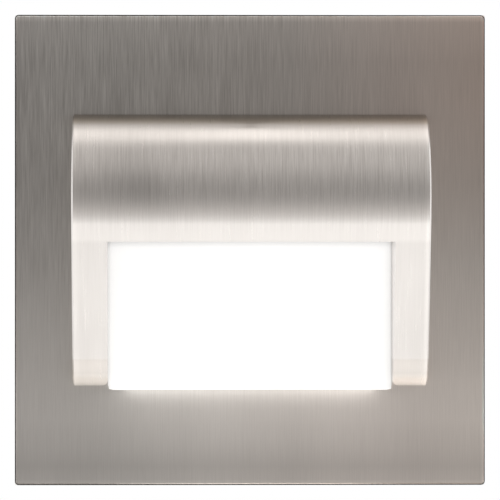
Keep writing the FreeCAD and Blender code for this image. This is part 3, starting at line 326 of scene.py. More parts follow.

# %% [markdown]
# ## Painted light and shade over height and width
#
# The rest of the light and shade on the steel is painted into its colour, and it changes slowly
# over the height and the width: the plate is darker at the top, lighter at the bottom, and warmer
# and lighter to the right. It ends in painted highlights, thin pale lines, at the folded edges and
# the hood's ends, and in a painted shade, a dark line, where the hood's top turns back to the plate.
# It could be painted in an image, but a few stops along Z and X are easier to read and to change.
# Each stop is a place in mm from the middle of the plate and its shade. The calm stops say in the
# same way how far the scratches fade.

# %% Stops of shade, and the two steels
# Painted light and shade on the plate down its height: darker at the top, lighter at the bottom, with
# painted highlights at both folds.
PLATE_PAINTED_LIGHT_HEIGHTS = [
    (-37.5, grey(1.20)), (-37.3, grey(1.06)), (-36.7, grey(0.86)), (-34.5, grey(0.79)),
    (-31.5, grey(0.89)), (-27.0, grey(1.0)), (-21.0, grey(1.01)), (-11.0, grey(0.92)),
    (0.0, grey(0.79)), (11.0, grey(0.71)), (22.0, grey(0.75)), (30.0, grey(0.74)),
    (36.3, grey(0.86)), (36.9, grey(1.08)), (37.3, grey(1.24)), (37.5, grey(1.45)),
]
# Painted light on the plate across its width: a painted warm reflection to the right, and painted highlights
# at the side folds.
PLATE_PAINTED_LIGHT_WIDTHS = [
    (-37.5, (1.32, 1.33, 1.33)), (-37.25, (0.99, 1.0, 1.0)), (-36.9, (0.93, 0.94, 0.94)),
    (-20.0, (0.95, 0.96, 0.955)), (8.0, (0.98, 0.965, 0.95)), (24.0, (1.12, 1.09, 1.07)),
    (36.8, (1.15, 1.12, 1.09)), (37.2, (1.34, 1.30, 1.28)), (37.5, (1.42, 1.40, 1.38)),
]
# Painted light and shade on the hood down its height: bands near the arms' lower ends, a painted highlight
# just above the lip, and a brownish painted shade where the top turns back to the plate.
HOOD_PAINTED_LIGHT_HEIGHTS = [
    (-21.5, (0.92, 0.90, 0.88)), (-20.9, (1.05, 1.03, 1.01)), (-20.3, (1.07, 1.05, 1.025)),
    (-19.5, (0.865, 0.847, 0.828)), (-17.4, (0.865, 0.847, 0.828)), (-17.1, grey(0.98)),
    (1.0, grey(0.98)), (1.7, grey(1.06)), (3.6, grey(1.06)),
    (5.5, grey(1.0)), (19.7, grey(1.0)), (20.15, (0.86, 0.83, 0.78)),
    (20.55, (0.64, 0.60, 0.54)), (21.05, (0.43, 0.395, 0.355)), (21.7, (0.34, 0.305, 0.275)),
]
# Painted highlights at the hood's two ends.
HOOD_PAINTED_LIGHT_WIDTHS = [
    (-28.2, grey(1.03)), (-27.9, grey(1.10)), (-26.8, grey(1.01)), (-25.0, grey(1.02)),
    (0.0, grey(0.97)), (25.5, grey(0.99)), (27.2, grey(1.0)), (27.8, grey(1.15)), (28.2, grey(1.0)),
]
PLATE_CALM = [("X", [(-37.5, 0.0), (-8.0, 0.1), (30.0, 0.75), (37.5, 0.8)]),
              ("Z", [(-37.5, 0.85), (-12.0, 0.75), (6.0, 0.25), (20.0, 0.0), (37.5, 0.0)])]
HOOD_CALM = [("Z", [(-22.0, 0.88), (2.5, 0.88), (6.5, 0.35), (10.0, 0.0), (16.0, 0.05), (17.6, 0.75),
                    (22.0, 0.8)])]
plate_steel = brushed_steel("plate_steel", (0.645, 0.615, 0.59), (0.985, 0.95, 0.917), 0.34,
                            PLATE_PAINTED_LIGHT_HEIGHTS, PLATE_PAINTED_LIGHT_WIDTHS, PLATE_CALM, [painted_warm_reflection, window_spill])
hood_steel = brushed_steel("hood_steel", (0.75, 0.722, 0.695), (0.985, 0.955, 0.925), 0.30,
                           HOOD_PAINTED_LIGHT_HEIGHTS, HOOD_PAINTED_LIGHT_WIDTHS, HOOD_CALM, [dark_cloud])
print("brushed finishes:", plate_steel.name, hood_steel.name)

# %% [markdown]
# ## The lit opal window
#
# The diffuser is white acrylic, lit from behind. Opal acrylic scatters the lamps so well that
# the window is one even white. Light through a thick scattering body is slow to work out, so
# the face glows by itself: the glow is set on the shader's own socket, and a faint mottle in
# its colour stands for the scattering. Towards the hood's lip and the two arms the glow sinks,
# because less light from the lamps gets there.

# %% The opal acrylic
GLOW = 0.76
OPAL_ROUGHNESS = 0.25
opal, opal_tree, opal_shader = new_material("opal")
opal_cloud = noise(opal_tree, 60, detail=2)
wire(opal_tree, ramp(opal_tree, opal_cloud, [(0.3, (0.50, 0.50, 0.49)), (0.7, (0.56, 0.56, 0.555))]),
     opal_shader.inputs["Base Color"])
opal_shader.inputs["Roughness"].default_value = OPAL_ROUGHNESS
dim_up = ramp_along(opal_tree, "Z", [
    (-23.0, (1.0, 1.0, 0.995)), (-1.0, (1.0, 1.0, 0.995)), (0.2, grey(0.97)), (0.5, grey(0.92)),
    (0.85, grey(0.80)), (1.12, grey(0.72)), (1.4, grey(0.60)), (13.0, grey(0.60))])
dim_across = ramp_along(opal_tree, "X", [
    (-22.9, grey(0.50)), (-22.55, grey(0.68)), (-22.2, grey(0.88)), (-21.5, grey(0.95)), (-19.5, grey(1.0)),
    (19.5, grey(1.0)), (21.2, grey(0.95)), (21.8, grey(0.88)), (22.3, grey(0.74)), (22.6, grey(0.50))])
dimmed = blend_node(opal_tree, "MULTIPLY", 1.0, dim_up, dim_across)
wire(opal_tree, dimmed, opal_shader.inputs["Emission Color"])
opal_shader.inputs["Emission Strength"].default_value = GLOW
print("window glow:", GLOW)

# %% [markdown]
# ## Plastics, boards and plated parts
#
# The pieces behind the plate are moulded plastic, coated board, plated metal and rubber. Each
# gets a fine noise in colour, roughness and relief at the scale of the real finish: spark
# texture on the mouldings, weave under the lacquer of the boards, drawing lines on the metal.
# Two recipes are enough, one for what is moulded or coated and one for bare or plated metal.

# %% Finishes of the inner pieces
def moulded(name, dark, light, roughness, relief=0.01 * MM, scale=2500):
    """Plastic, rubber, lacquer or ceramic between two tones; relief is its grain's depth."""
    material, tree, shader = new_material(name)
    grain = noise(tree, scale, detail=3)
    wire(tree, ramp(tree, grain, [(0.35, dark), (0.65, light)]), shader.inputs["Base Color"])
    wire(tree, ramp(tree, grain, [(0.3, grey(roughness + 0.06)), (0.7, grey(roughness - 0.06))]),
         shader.inputs["Roughness"])
    bump(tree, shader, grain, 0.3, relief)
    return material


def plated(name, dark, light, roughness, stretch=(1, 1, 1), scale=900):
    """Bare or plated metal between two tones; stretch draws its grain out into lines."""
    material, tree, shader = new_material(name)
    grain = noise(tree, scale, stretch=stretch, detail=4, roughness=0.65)
    wire(tree, ramp(tree, grain, [(0.3, dark), (0.7, light)]), shader.inputs["Base Color"])
    wire(tree, ramp(tree, grain, [(0.3, grey(roughness + 0.08)), (0.7, grey(roughness - 0.05))]),
         shader.inputs["Roughness"])
    shader.inputs["Metallic"].default_value = 1.0
    bump(tree, shader, grain, 0.15, 0.01 * MM)
    return material


finishes = {
    "brushed_plate": plate_steel,
    "brushed_hood": hood_steel,
    "opal": opal,
    "silicone": moulded("silicone", (0.62, 0.63, 0.62), (0.70, 0.71, 0.70), 0.55),
    "white_plastic": moulded("white_plastic", (0.83, 0.83, 0.81), (0.88, 0.88, 0.86), 0.42),
    "foam": moulded("foam", (0.030, 0.030, 0.032), (0.075, 0.075, 0.078), 0.92, 0.12 * MM, 1500),
    "zinc": plated("zinc", (0.58, 0.59, 0.62), (0.78, 0.79, 0.82), 0.3),
    "white_board": moulded("white_board", (0.82, 0.83, 0.80), (0.90, 0.90, 0.88), 0.35, 0.005 * MM, 1800),
    "lamp": moulded("lamp", (0.84, 0.70, 0.28), (0.92, 0.80, 0.36), 0.3),
    "thermal_pad": moulded("thermal_pad", (0.42, 0.52, 0.60), (0.48, 0.58, 0.66), 0.7),
    "aluminium": plated("aluminium", (0.72, 0.73, 0.74), (0.86, 0.87, 0.88), 0.32, (1, 1, 0.03)),
    "green_board": moulded("green_board", (0.02, 0.16, 0.07), (0.04, 0.23, 0.10), 0.32, 0.008 * MM, 1600),
    "capacitor_can": moulded("capacitor_can", (0.02, 0.022, 0.03), (0.035, 0.04, 0.05), 0.28),
    "ferrite": moulded("ferrite", (0.035, 0.034, 0.033), (0.075, 0.073, 0.07), 0.6, 0.03 * MM),
    "chip_case": moulded("chip_case", (0.018, 0.018, 0.019), (0.036, 0.036, 0.038), 0.55),
    "black_plastic": moulded("black_plastic", (0.024, 0.024, 0.026), (0.046, 0.046, 0.049), 0.46, 0.02 * MM),
    "tinned": plated("tinned", (0.72, 0.72, 0.71), (0.86, 0.86, 0.85), 0.25),
    "nickel": plated("nickel", (0.66, 0.63, 0.58), (0.80, 0.77, 0.72), 0.22),
    "terminal_plastic": moulded("terminal_plastic", (0.54, 0.55, 0.54), (0.64, 0.65, 0.64), 0.45),
    "spring_steel": plated("spring_steel", (0.50, 0.50, 0.51), (0.68, 0.68, 0.70), 0.27,
                           (0.04, 1, 0.6), 2600),
}
print("finishes:", len(finishes))

# %% [markdown]
# ## How a piece joins the light
#
# A piece made here rides on the body that carries it, so the leaf springs and the terminal's
# screws take their looks along when they move. Where it stands for a solid of the CAD, that
# solid is hidden. No real edge is without a small round. Each could be picked by hand, but a
# bevel that finds every edge sharper than an angle does the whole piece at once.

# %% Helpers that put a piece on the light
slot_of = {part["node"]: part["material_slot"] for part in record["subparts"]}
body_of = {node: body for body, carried in record["behaviour"]["bodies"].items() for node in carried}
FLAT_WEIGHT = 60


def seat(name, mesh, finish, body="housing", stands_for=None):
    """Show a mesh as a piece with this finish; it rides on a body and may stand for a CAD node."""
    piece = bpy.data.objects.new(name, mesh)
    bpy.context.scene.collection.objects.link(piece)
    mesh.materials.clear()
    mesh.materials.append(finishes[finish])
    mesh.polygons.foreach_set("use_smooth", [True] * len(mesh.polygons))
    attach(piece, body)
    if stands_for:
        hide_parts(stands_for)
    return piece


def soften(piece, width, segments=2, angle=28):
    """Break the sharp edges of a piece by a round of this width in mm, and keep its flats flat."""
    bevel = piece.modifiers.new("broken_edges", "BEVEL")
    bevel.width = width * MM
    bevel.segments = segments
    bevel.limit_method = "ANGLE"
    bevel.angle_limit = math.radians(angle)
    flats = piece.modifiers.new("flat_flats", "WEIGHTED_NORMAL")
    flats.keep_sharp = True
    flats.weight = FLAT_WEIGHT


# %% [markdown]
# ## From the CAD's form to a piece
#
# Most pieces start from the CAD's own form, since it is already right. It comes as triangles,
# and a bevel needs faces that share their corners. So corners in the same place are merged and
# each flat is put back together first. Every piece could be drawn anew instead, but only what is
# finer than the CAD needs that.

# %% Helpers that refine a piece of the CAD
SAME_POINT = 0.002 * MM
SAME_PLANE = math.radians(0.6)


def cad_shape(node):
    """A CAD node as an editable mesh: corners merged and each flat face in one piece."""
    shape = bmesh.new()
    shape.from_mesh(nodes[node].data)
    shape.transform(nodes[node].matrix_world)
    bmesh.ops.remove_doubles(shape, verts=shape.verts, dist=SAME_POINT)
    bmesh.ops.dissolve_limit(shape, angle_limit=SAME_PLANE, verts=shape.verts, edges=shape.edges)
    return shape


def as_mesh(name, shape):
    """An editable mesh turned into a mesh with this name."""
    mesh = bpy.data.meshes.new(name)
    shape.normal_update()
    shape.to_mesh(mesh)
    shape.free()
    if "custom_normal" in mesh.attributes:
        mesh.attributes.remove(mesh.attributes["custom_normal"])
    return mesh


def refined(name, node, width, segments=2):
    """The CAD node with its edges broken, as the real piece leaves the mould or the press."""
    piece = seat(name, as_mesh(name, cad_shape(node)), slot_of[node], body_of[node], node)
    soften(piece, width, segments)
    return piece


def paint_part(piece, finish, wanted):
    """Give the faces whose middle passes wanted(point) a second finish."""
    piece.data.materials.append(finishes[finish])
    for face in piece.data.polygons:
        if wanted(face.center):
            face.material_index = 1


print("corners are merged within", round(SAME_POINT / MM, 4), "mm")

# %% [markdown]
# ## The face plate
#
# The plate is a pan folded from 0.8 mm sheet. Its fold is crisp: the sheet is scored before it
# is bent, so the outer round is only 0.3 mm. The CAD keeps a wider bend. The pan could be drawn
# again, but it is enough to pull every point of that bend to a quarter of its distance from the
# edge. The four corners beside the folds get a small round of their own.

# %% The folded pan
PLATE_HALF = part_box("face_plate")[1].x
BEND = 1.2 * MM
CRISP = 0.26
FOLD_INSIDE = 0.5 * MM
IN_BEND = BEND * 1.01
CORNER_ROUND = 0.6 * MM
AT_CORNER = 0.02 * MM


def crisper(shape):
    """Pull the outside of the plate's wide bend in towards its edge."""
    for point in shape.verts:
        in_face = point.co.y - plate_face_y
        side = min(PLATE_HALF - abs(point.co.x), PLATE_HALF - abs(point.co.z))
        if in_face > IN_BEND or min(side, in_face) > FOLD_INSIDE:
            continue
        for axis in (0, 2):
            inward = PLATE_HALF - abs(point.co[axis])
            if inward < IN_BEND:
                point.co[axis] = math.copysign(PLATE_HALF - inward * CRISP, point.co[axis])
        if side < IN_BEND:
            point.co.y = plate_face_y + in_face * CRISP


pan = cad_shape("face_plate")
crisper(pan)
upright = [edge for edge in pan.edges
           if all(min(abs(end.co.x), abs(end.co.z)) > PLATE_HALF - AT_CORNER for end in edge.verts)]
bmesh.ops.bevel(pan, geom=upright, offset=CORNER_ROUND, segments=4, profile=0.5, affect="EDGES")
for point in pan.verts:
    for axis in (0, 2):
        point.co[axis] = max(-PLATE_HALF, min(PLATE_HALF, point.co[axis]))
face_plate = seat("plate_pan", as_mesh("plate_pan", pan), "brushed_plate", "housing", "face_plate")
soften(face_plate, 0.05)
print("plate faces:", len(face_plate.data.polygons))

# %% [markdown]
# ## The hood
#
# The hood is cast and then brushed. Its long edges are broken by about a tenth of a millimetre,
# which is what draws the thin bright lines at its sides and at the window's top. The bevels at
# its two ends are made a little narrower than the CAD has them, as belt grinding leaves them.
# A subdivision surface could give the curves, but the CAD has them as true arcs already.

# %% The cast hood
BEVEL_IN_CAD, BEVEL_GROUND = 0.4 * MM, 0.24 * MM
CLOSE = 0.01 * MM
hood_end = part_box("hood")[1].x
casting = cad_shape("hood")
for point in casting.verts:
    if abs(abs(point.co.x) - (hood_end - BEVEL_IN_CAD)) < CLOSE:
        point.co.x = math.copysign(hood_end - BEVEL_GROUND, point.co.x)
hood = seat("cast_hood", as_mesh("cast_hood", casting), "brushed_hood", "housing", "hood")
soften(hood, 0.09)
print("hood faces:", len(hood.data.polygons))

# %% [markdown]
# ## The window
#
# The diffuser is a moulded cap that fills the opening. Its two lower corners are nearly square,
# squarer than in the CAD. The cap could be drawn anew, but it is enough to pull the points of
# each corner's round out to a fifth of their distance from it.

# %% The opal cap
CAP_HALF, CAP_CORNER = 22.5 * MM, 0.76 * MM
CAP_BOTTOM = -22.15 * MM
CAP_FLANGE_Y = -5.7 * MM
SQUARED = 0.2
cap = cad_shape("diffuser")
for point in cap.verts:
    beside = CAP_HALF - abs(point.co.x)
    under = point.co.z - CAP_BOTTOM
    in_corner = -CLOSE < beside < CAP_CORNER and -CLOSE < under < CAP_CORNER
    if point.co.y < CAP_FLANGE_Y and in_corner:
        point.co.x = math.copysign(CAP_HALF - beside * SQUARED, point.co.x)
        point.co.z = CAP_BOTTOM + under * SQUARED
window = seat("opal_window", as_mesh("opal_window", cap), "opal", "housing", "diffuser")
soften(window, 0.10)
print("window faces:", len(window.data.polygons))

# %% [markdown]
# ## The foam frame against the wall
#
# Closed cell foam is cut from a sheet and glued to the tray. Its cut edges are soft and its skin
# is uneven. Cloth could be let loose on it, but foam this thin hardly moves, so the frame is
# drawn as a rounded section that is carried round a square.

# %% A section carried round a square
foam_low, foam_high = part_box("wall_gasket")
FOAM_OUTER = foam_high.x
FOAM_INNER = 30.2 * MM
FOAM_CORNER = 0.5 * MM
FOAM_STEP = 1.5 * MM


def rounded_section(low_x, high_x, low_y, high_y, corner, steps=4):
    """Points round a rounded rectangle in a section, as (across, depth)."""
    points = []
    middles = [(high_x - corner, high_y - corner, 0), (low_x + corner, high_y - corner, 90),
               (low_x + corner, low_y + corner, 180), (high_x - corner, low_y + corner, 270)]
    for x, y, start in middles:
        for step in range(steps + 1):
            turn = math.radians(start + 90 * step / steps)
            points.append((x + corner * math.cos(turn), y + corner * math.sin(turn)))
    return points


def carried_round(section, stations):
    """A closed tube: at each station, place(across, depth) gives the point of the section."""
    shape = bmesh.new()
    rows = [[shape.verts.new(place(*point)) for point in section] for place in stations]
    for number, row in enumerate(rows):
        following = rows[(number + 1) % len(rows)]
        for k in range(len(section)):
            other = (k + 1) % len(section)
            shape.faces.new((row[k], row[other], following[other], following[k]))
    bmesh.ops.recalc_face_normals(shape, faces=shape.faces)
    return shape


def square_stations():
    """Places round a square frame, evenly spaced along each side."""
    count = int(2 * FOAM_OUTER / FOAM_STEP)
    stations = []
    for side in range(4):
        turn = Matrix.Rotation(math.radians(-90 * side), 3, "Y")
        for step in range(count):
            slide = 2 * step / count - 1

            def place(across, depth, turn=turn, slide=slide):
                return turn @ Vector((across, depth, slide * across))

            stations.append(place)
    return stations


print("foam frame, inner and outer half width:", round(FOAM_INNER, 4), round(FOAM_OUTER, 4))

# %% [markdown]
# ## The foam's uneven skin
#
# Foam swells a little between its cut edges. It could be sculpted by hand, but a smooth noise is
# enough: every point moves away from the middle line of its side by up to a few hundredths of a
# millimetre, and on the outside the plate's rim stops it.

# %% Wall gasket of foam
FOAM_CELLS = 420
FOAM_WOBBLE = 0.05 * MM
foam_section = rounded_section(FOAM_INNER, FOAM_OUTER, foam_low.y, foam_high.y, FOAM_CORNER)
foam = carried_round(foam_section, square_stations())
foam_middle = (FOAM_INNER + FOAM_OUTER) / 2
for point in foam.verts:
    wobble = field.noise(point.co * FOAM_CELLS) * FOAM_WOBBLE
    reach = max(abs(point.co.x), abs(point.co.z))
    scale = 1 + math.copysign(wobble, reach - foam_middle) / reach
    if reach > foam_middle:
        scale = min(scale, FOAM_OUTER / reach)
    point.co.x *= scale
    point.co.z *= scale
wall_foam = seat("foam_frame", as_mesh("foam_frame", foam), "foam", "housing", "wall_gasket")
print("foam points:", len(wall_foam.data.vertices))

# %% [markdown]
# ## Screws
#
# Four hexagon screws clamp the hood, two round-headed screws hold the rear cover. A profile
# turned round an axis could give the shanks, but a head has six sides or a cross in it. So a
# screw is drawn from outlines, and each outline is a list of radii, one for every step round
# the axis.

# %% Outlines round an axis
ROUND_STEPS = 48
NOT_ZERO = 1e-9


def round_outline(radius):
    """A circle's radii, in mm."""
    return [radius] * ROUND_STEPS


def hexagon_outline(corner_radius):
    """A hexagon's radii, with its corners at this radius, in mm."""
    flat = corner_radius * math.cos(math.radians(30))
    turns = [(360 * k / ROUND_STEPS + 30) % 60 - 30 for k in range(ROUND_STEPS)]
    return [flat / math.cos(math.radians(turn)) for turn in turns]


def cross_outline(half_width, reach):
    """A cross for the driver's tip: each arm's half width and reach, in mm."""
    radii = []
    for k in range(ROUND_STEPS):
        turn = 2 * math.pi * k / ROUND_STEPS
        wide, high = abs(math.cos(turn)) + NOT_ZERO, abs(math.sin(turn)) + NOT_ZERO
        radii.append(max(min(reach / wide, half_width / high), min(reach / high, half_width / wide)))
    return radii


print("steps round a screw:", ROUND_STEPS)

# %% [markdown]
# ## Stacks and threads
#
# The outlines are skinned in turn, each at its own depth: the tip, the shank with its thread,
# the seat, the head and the drive. A ridge could be swept round the shank, but here the thread
# is the shank's radius changed by how far the point is along the helix. That is simpler, it
# closes by itself, and the thread can run out softly at both ends.

# %% Stacks of outlines
RUN_OUT_RATE, RUN_OUT_LEAST = 3, 0.15


def stack(shape, centre, layers):
    """Skin a list of (outline in mm, depths in mm) round a line along Y through centre = (x, z)."""
    rows = []
    for outline, depth in layers:
        depths = depth if isinstance(depth, list) else [depth] * ROUND_STEPS
        row = []
        for k, radius in enumerate(outline):
            turn = 2 * math.pi * k / ROUND_STEPS
            row.append(shape.verts.new((centre[0] + radius * MM * math.cos(turn), depths[k] * MM,
                                        centre[1] + radius * MM * math.sin(turn))))
        rows.append(row)
    for row, following in zip(rows, rows[1:]):
        for k in range(ROUND_STEPS):
            other = (k + 1) % ROUND_STEPS
            shape.faces.new((row[k], row[other], following[other], following[k]))
    shape.faces.new(rows[0])
    shape.faces.new(rows[-1])


def threaded(radius, depth, pitch, start, end, rows_per_turn=6):
    """Layers of a shank from y = start to y = end whose radius follows a helix."""
    layers = []
    count = int(abs(end - start) / pitch * rows_per_turn)
    for row in range(count + 1):
        place = start + (end - start) * row / count
        fade = min(1.0, RUN_OUT_RATE * min(row, count - row) / count + RUN_OUT_LEAST)
        outline = []
        for k in range(ROUND_STEPS):
            phase = (place / pitch + k / ROUND_STEPS) % 1.0
            outline.append(radius - depth * fade * 2 * abs(phase - 0.5))
        layers.append((outline, place))
    return layers


def closed(name, shape):
    """The finished mesh of closed stacks, with every face turned outwards."""
    bmesh.ops.recalc_face_normals(shape, faces=shape.faces)
    return as_mesh(name, shape)


print("share of a thread's depth at its ends:", RUN_OUT_LEAST)

# %% [markdown]
# ## The hood's screws
#
# These are M2 screws with hexagon heads, tightened from the back. A hexagon bar is chamfered on
# a lathe before the head is cut off it: where a corner sticks out past the chamfer's circle, it
# lies lower. A cone could be cut away for that, but here the corner's depth is worked out.

# %% Hood screws
SCREW_X, SCREW_HIGH, SCREW_LOW = 25.6 * MM, 15.0 * MM, -15.1 * MM
HOOD_THREAD, HOOD_PITCH, HOOD_THREAD_DEPTH = 1.0, 0.4, 0.14
HEAD_CORNER, CHAMFER_CIRCLE, CHAMFER_SLOPE = 2.28, 1.9, 0.6
tray_back_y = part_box("wall_gasket")[0].y / MM
hood_screw_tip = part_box("hood_screws")[0].y / MM
hood_screw_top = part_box("hood_screws")[1].y / MM


def chamfered(outline, circle, top):
    """The depth of each point of an outline on a top face that is chamfered outside a circle."""
    return [top - max(0.0, radius - circle) * CHAMFER_SLOPE for radius in outline]


bolts = bmesh.new()
for side in (-1, 1):
    for height in (SCREW_HIGH, SCREW_LOW):
        head = hexagon_outline(HEAD_CORNER)
        thread = threaded(HOOD_THREAD, HOOD_THREAD_DEPTH, HOOD_PITCH, hood_screw_tip + 0.2, tray_back_y)
        stack(bolts, (SCREW_X * side, height), [
            (round_outline(0.75), hood_screw_tip), *thread, (head, tray_back_y),
            (head, chamfered(head, CHAMFER_CIRCLE, hood_screw_top)),
            (round_outline(1.88), hood_screw_top), (round_outline(1.2), hood_screw_top - 0.05)])
hood_bolts = seat("hexagon_screws", closed("hexagon_screws", bolts), "zinc", "housing", "hood_screws")
soften(hood_bolts, 0.05, 2, 35)
print("hood screw faces:", len(hood_bolts.data.polygons))

# %% [markdown]
# ## The cover's screws
#
# Two screws for plastic hold the rear cover. Their thread is coarse, and their heads are domed
# and have a cross for the driver. The cross could be cut out of the head, but as two more
# outlines of the stack it leaves a clean mesh.

# %% Cover screws
COVER_POST_X = 22.0 * MM
COVER_THREAD, COVER_PITCH, COVER_THREAD_DEPTH = 1.1, 0.8, 0.2
COVER_HEAD_HEIGHT, CROSS_DEPTH = 1.5, 0.9
cover_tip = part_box("cover_screws")[0].y / MM
cover_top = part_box("cover_screws")[1].y / MM
cover_seat = cover_top - COVER_HEAD_HEIGHT
cover_thread = threaded(COVER_THREAD, COVER_THREAD_DEPTH, COVER_PITCH, cover_tip + 0.5, cover_seat)
studs = bmesh.new()
for side in (-1, 1):
    stack(studs, (COVER_POST_X * side, 0), [
        (round_outline(0.7), cover_tip), *cover_thread,
        (round_outline(1.9), cover_seat), (round_outline(2.1), cover_seat + 0.25),
        (round_outline(2.02), cover_seat + 0.75), (round_outline(1.75), cover_seat + 1.15),
        (round_outline(1.3), cover_top - 0.08), (cross_outline(0.26, 1.05), cover_top),
        (cross_outline(0.22, 0.9), cover_top - CROSS_DEPTH)])
cover_studs = seat("cross_screws", closed("cross_screws", studs), "zinc", "housing", "cover_screws")
soften(cover_studs, 0.03, 1, 40)
print("cover screw faces:", len(cover_studs.data.polygons))

# %% [markdown]
# ## Mouldings, leaves and terminal
#
# These keep the CAD's form, which has all their ribs, hooks and bores. Each gets the edge that
# its process leaves: wide on the moulded cover, narrow on the stamped springs, very fine on the
# terminal's metal.

# %% Mouldings and stamped pieces
tray = refined("white_tray", "light_tray", 0.15)
back_cover = refined("black_cover", "rear_cover", 0.25, 3)
refined("terminal_case", "terminal_body", 0.12)
for side in ("right", "left"):
    refined(f"leaf_{side}", f"spring_{side}", 0.06)
for pole in ("plus", "minus"):
    refined(f"cage_{pole}", f"terminal_cage_{pole}", 0.05)
    refined(f"clamp_screw_{pole}", f"terminal_screw_{pole}", 0.04)
refined("contact_bars", "terminal_contacts", 0.05)
refined("window_seal", "diffuser_seal", 0.12)
refined("cooling_pad", "thermal_pad", 0.08)
refined("folded_spreader", "heat_spreader", 0.12)
print("faces of tray and cover:", len(tray.data.polygons), len(back_cover.data.polygons))

# %% [markdown]
# ## The lamp board
#
# Nothing of the boards shows once the light is shut, but they are what makes it work. Each lamp
# is a white case with a yellow phosphor in its well. The phosphor is poured in as a gel, and it
# sets slightly domed, so it is a small grid whose middle is raised.

# %% Lamp board
LAMP_SPACING_X, LAMP_SPACING_Z = 10.0 * MM, 4.5 * MM
LAMP_WELL = 0.25 * MM
PHOSPHOR_HALF_X, PHOSPHOR_HALF_Z = 1.12 * MM, 1.02 * MM
PHOSPHOR_DOME, PHOSPHOR_LIFT = 0.12 * MM, 0.02 * MM
DOME_STEPS = 8
refined("lamp_board", "led_board", 0.05)
lamps = refined("lamp_cases", "leds", 0.05)
lamps.data.materials[0] = finishes["white_board"]
lamp_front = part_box("leds")[0].y
lamp_places = [(LAMP_SPACING_X * column, LAMP_SPACING_Z * row) for column in (-1, 0, 1) for row in (-1, 1)]

phosphor = bmesh.new()
phosphor_y = lamp_front + LAMP_WELL - PHOSPHOR_LIFT
for x, z in lamp_places:
    grid = []
    for i in range(DOME_STEPS + 1):
        row = []
        for j in range(DOME_STEPS + 1):
            u, v = 2 * i / DOME_STEPS - 1, 2 * j / DOME_STEPS - 1
            swell = (1 - u * u) * (1 - v * v) * PHOSPHOR_DOME
            row.append(phosphor.verts.new((x + u * PHOSPHOR_HALF_X, phosphor_y - swell,
                                           z + v * PHOSPHOR_HALF_Z)))
        grid.append(row)
    for i in range(DOME_STEPS):
        for j in range(DOME_STEPS):
            phosphor.faces.new((grid[i][j], grid[i + 1][j], grid[i + 1][j + 1], grid[i][j + 1]))
seat("lamp_phosphor", as_mesh("lamp_phosphor", phosphor), "lamp")
print("lamps:", len(lamp_places))

# %% [markdown]
# ## The driver board and its chips
#
# The chips keep the CAD's form: a black case with legs at both ends. One node is one mesh here,
# so the legs are told from the case by how near a face lies to an end, and get the second
# finish. Two meshes would do as well, but then a leg could part from its case.

# %% Driver board and chips
refined("driver_plate", "driver_board", 0.05)
refined("coil_case", "power_inductor", 0.25, 3)
refined("pin_strip", "link_block", 0.1)
refined("link_posts", "link_pins", 0.05)


def legged(name, node, width, axis, leg):
    """A chip whose outer legs, this long in mm on one axis, are tinned."""
    low, high = (getattr(corner, axis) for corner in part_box(node))
    paint_part(refined(name, node, width), "tinned",
               lambda point: not low + leg * MM < getattr(point, axis) < high - leg * MM)


legged("bridge_case", "bridge_rectifier", 0.08, "z", 1.02)
legged("driver_case", "driver_chip", 0.05, "z", 0.97)
legged("resistor_row", "sense_resistors", 0.04, "x", 0.52)
print("chips with tinned legs: 3 nodes")

# %% [markdown]
# ## The capacitor
#
# An electrolytic capacitor is an aluminium can in a printed sleeve. A groove is rolled in near
# its foot, the sleeve laps over the rim of the top, and the bare top has a shallow cross where
# it may burst safely. It is a stack of circles like the screws.

# %% The capacitor's can and sleeve
SLEEVE_LAP, BARE_TOP = 0.55, 0.4
can_low, can_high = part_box("input_capacitor")
can_centre = ((can_low.x + can_high.x) / 2, (can_low.z + can_high.z) / 2)
can_start, can_end = can_low.y / MM, can_high.y / MM
can_radius = (can_high.x - can_low.x) / 2 / MM
can = bmesh.new()
stack(can, can_centre, [
    (round_outline(can_radius - 0.5), can_start), (round_outline(can_radius - 0.15), can_start + 0.05),
    (round_outline(can_radius), can_start + 0.3), (round_outline(can_radius), can_start + 0.9),
    (round_outline(can_radius - 0.3), can_start + 1.2), (round_outline(can_radius), can_start + 1.5),
    (round_outline(can_radius), can_end - 0.5), (round_outline(can_radius - 0.15), can_end - 0.12),
    (round_outline(can_radius - 0.5), can_end), (round_outline(can_radius - 0.6), can_end - 0.15),
    (cross_outline(0.16, 1.9), can_end - 0.15), (cross_outline(0.1, 1.8), can_end - 0.3)])
can_piece = seat("capacitor_sleeve", closed("capacitor_sleeve", can), "capacitor_can", "housing",
                 "input_capacitor")
paint_part(can_piece, "aluminium",
           lambda point: point.y > (can_end - BARE_TOP) * MM
           and math.dist((point.x, point.z), can_centre) < (can_radius - SLEEVE_LAP) * MM)
print("capacitor faces:", len(can_piece.data.polygons))

# %% [markdown]
# ## Solder
#
# Solder wets the pin and the pad, so each joint is a small cone with hollow flanks. A curve
# could be turned for it, but a stack of four circles is enough at this size.

# %% Solder joints
PIN_X, PIN_Z, PIN_RADIUS = 1.27 * MM, 10.0 * MM, 0.42
CONTACT_X, CONTACT_RADIUS = 2.5 * MM, 0.6
board_front, board_back = (corner.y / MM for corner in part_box("driver_board"))
contact_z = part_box("terminal_contacts")[1].z - 0.4 * MM
solder = bmesh.new()


def joint(x, z, face, rise, pin_radius):
    """A cone of solder on a board's face; rise is 1 towards the back and -1 towards the front."""
    profile = [(0.55, 0.02), (0.5, 0.1), (0.22, 0.3), (0.08, 0.7)]
    stack(solder, (x, z), [(round_outline(pin_radius + wider), face + height * rise)
                           for wider, height in profile])


for side in (-1, 1):
    joint(PIN_X * side, PIN_Z, board_back, 1, PIN_RADIUS)
    joint(CONTACT_X * side, contact_z, board_front, -1, CONTACT_RADIUS)
cones = seat("solder_cones", closed("solder_cones", solder), "tinned")
print("solder faces:", len(cones.data.polygons))

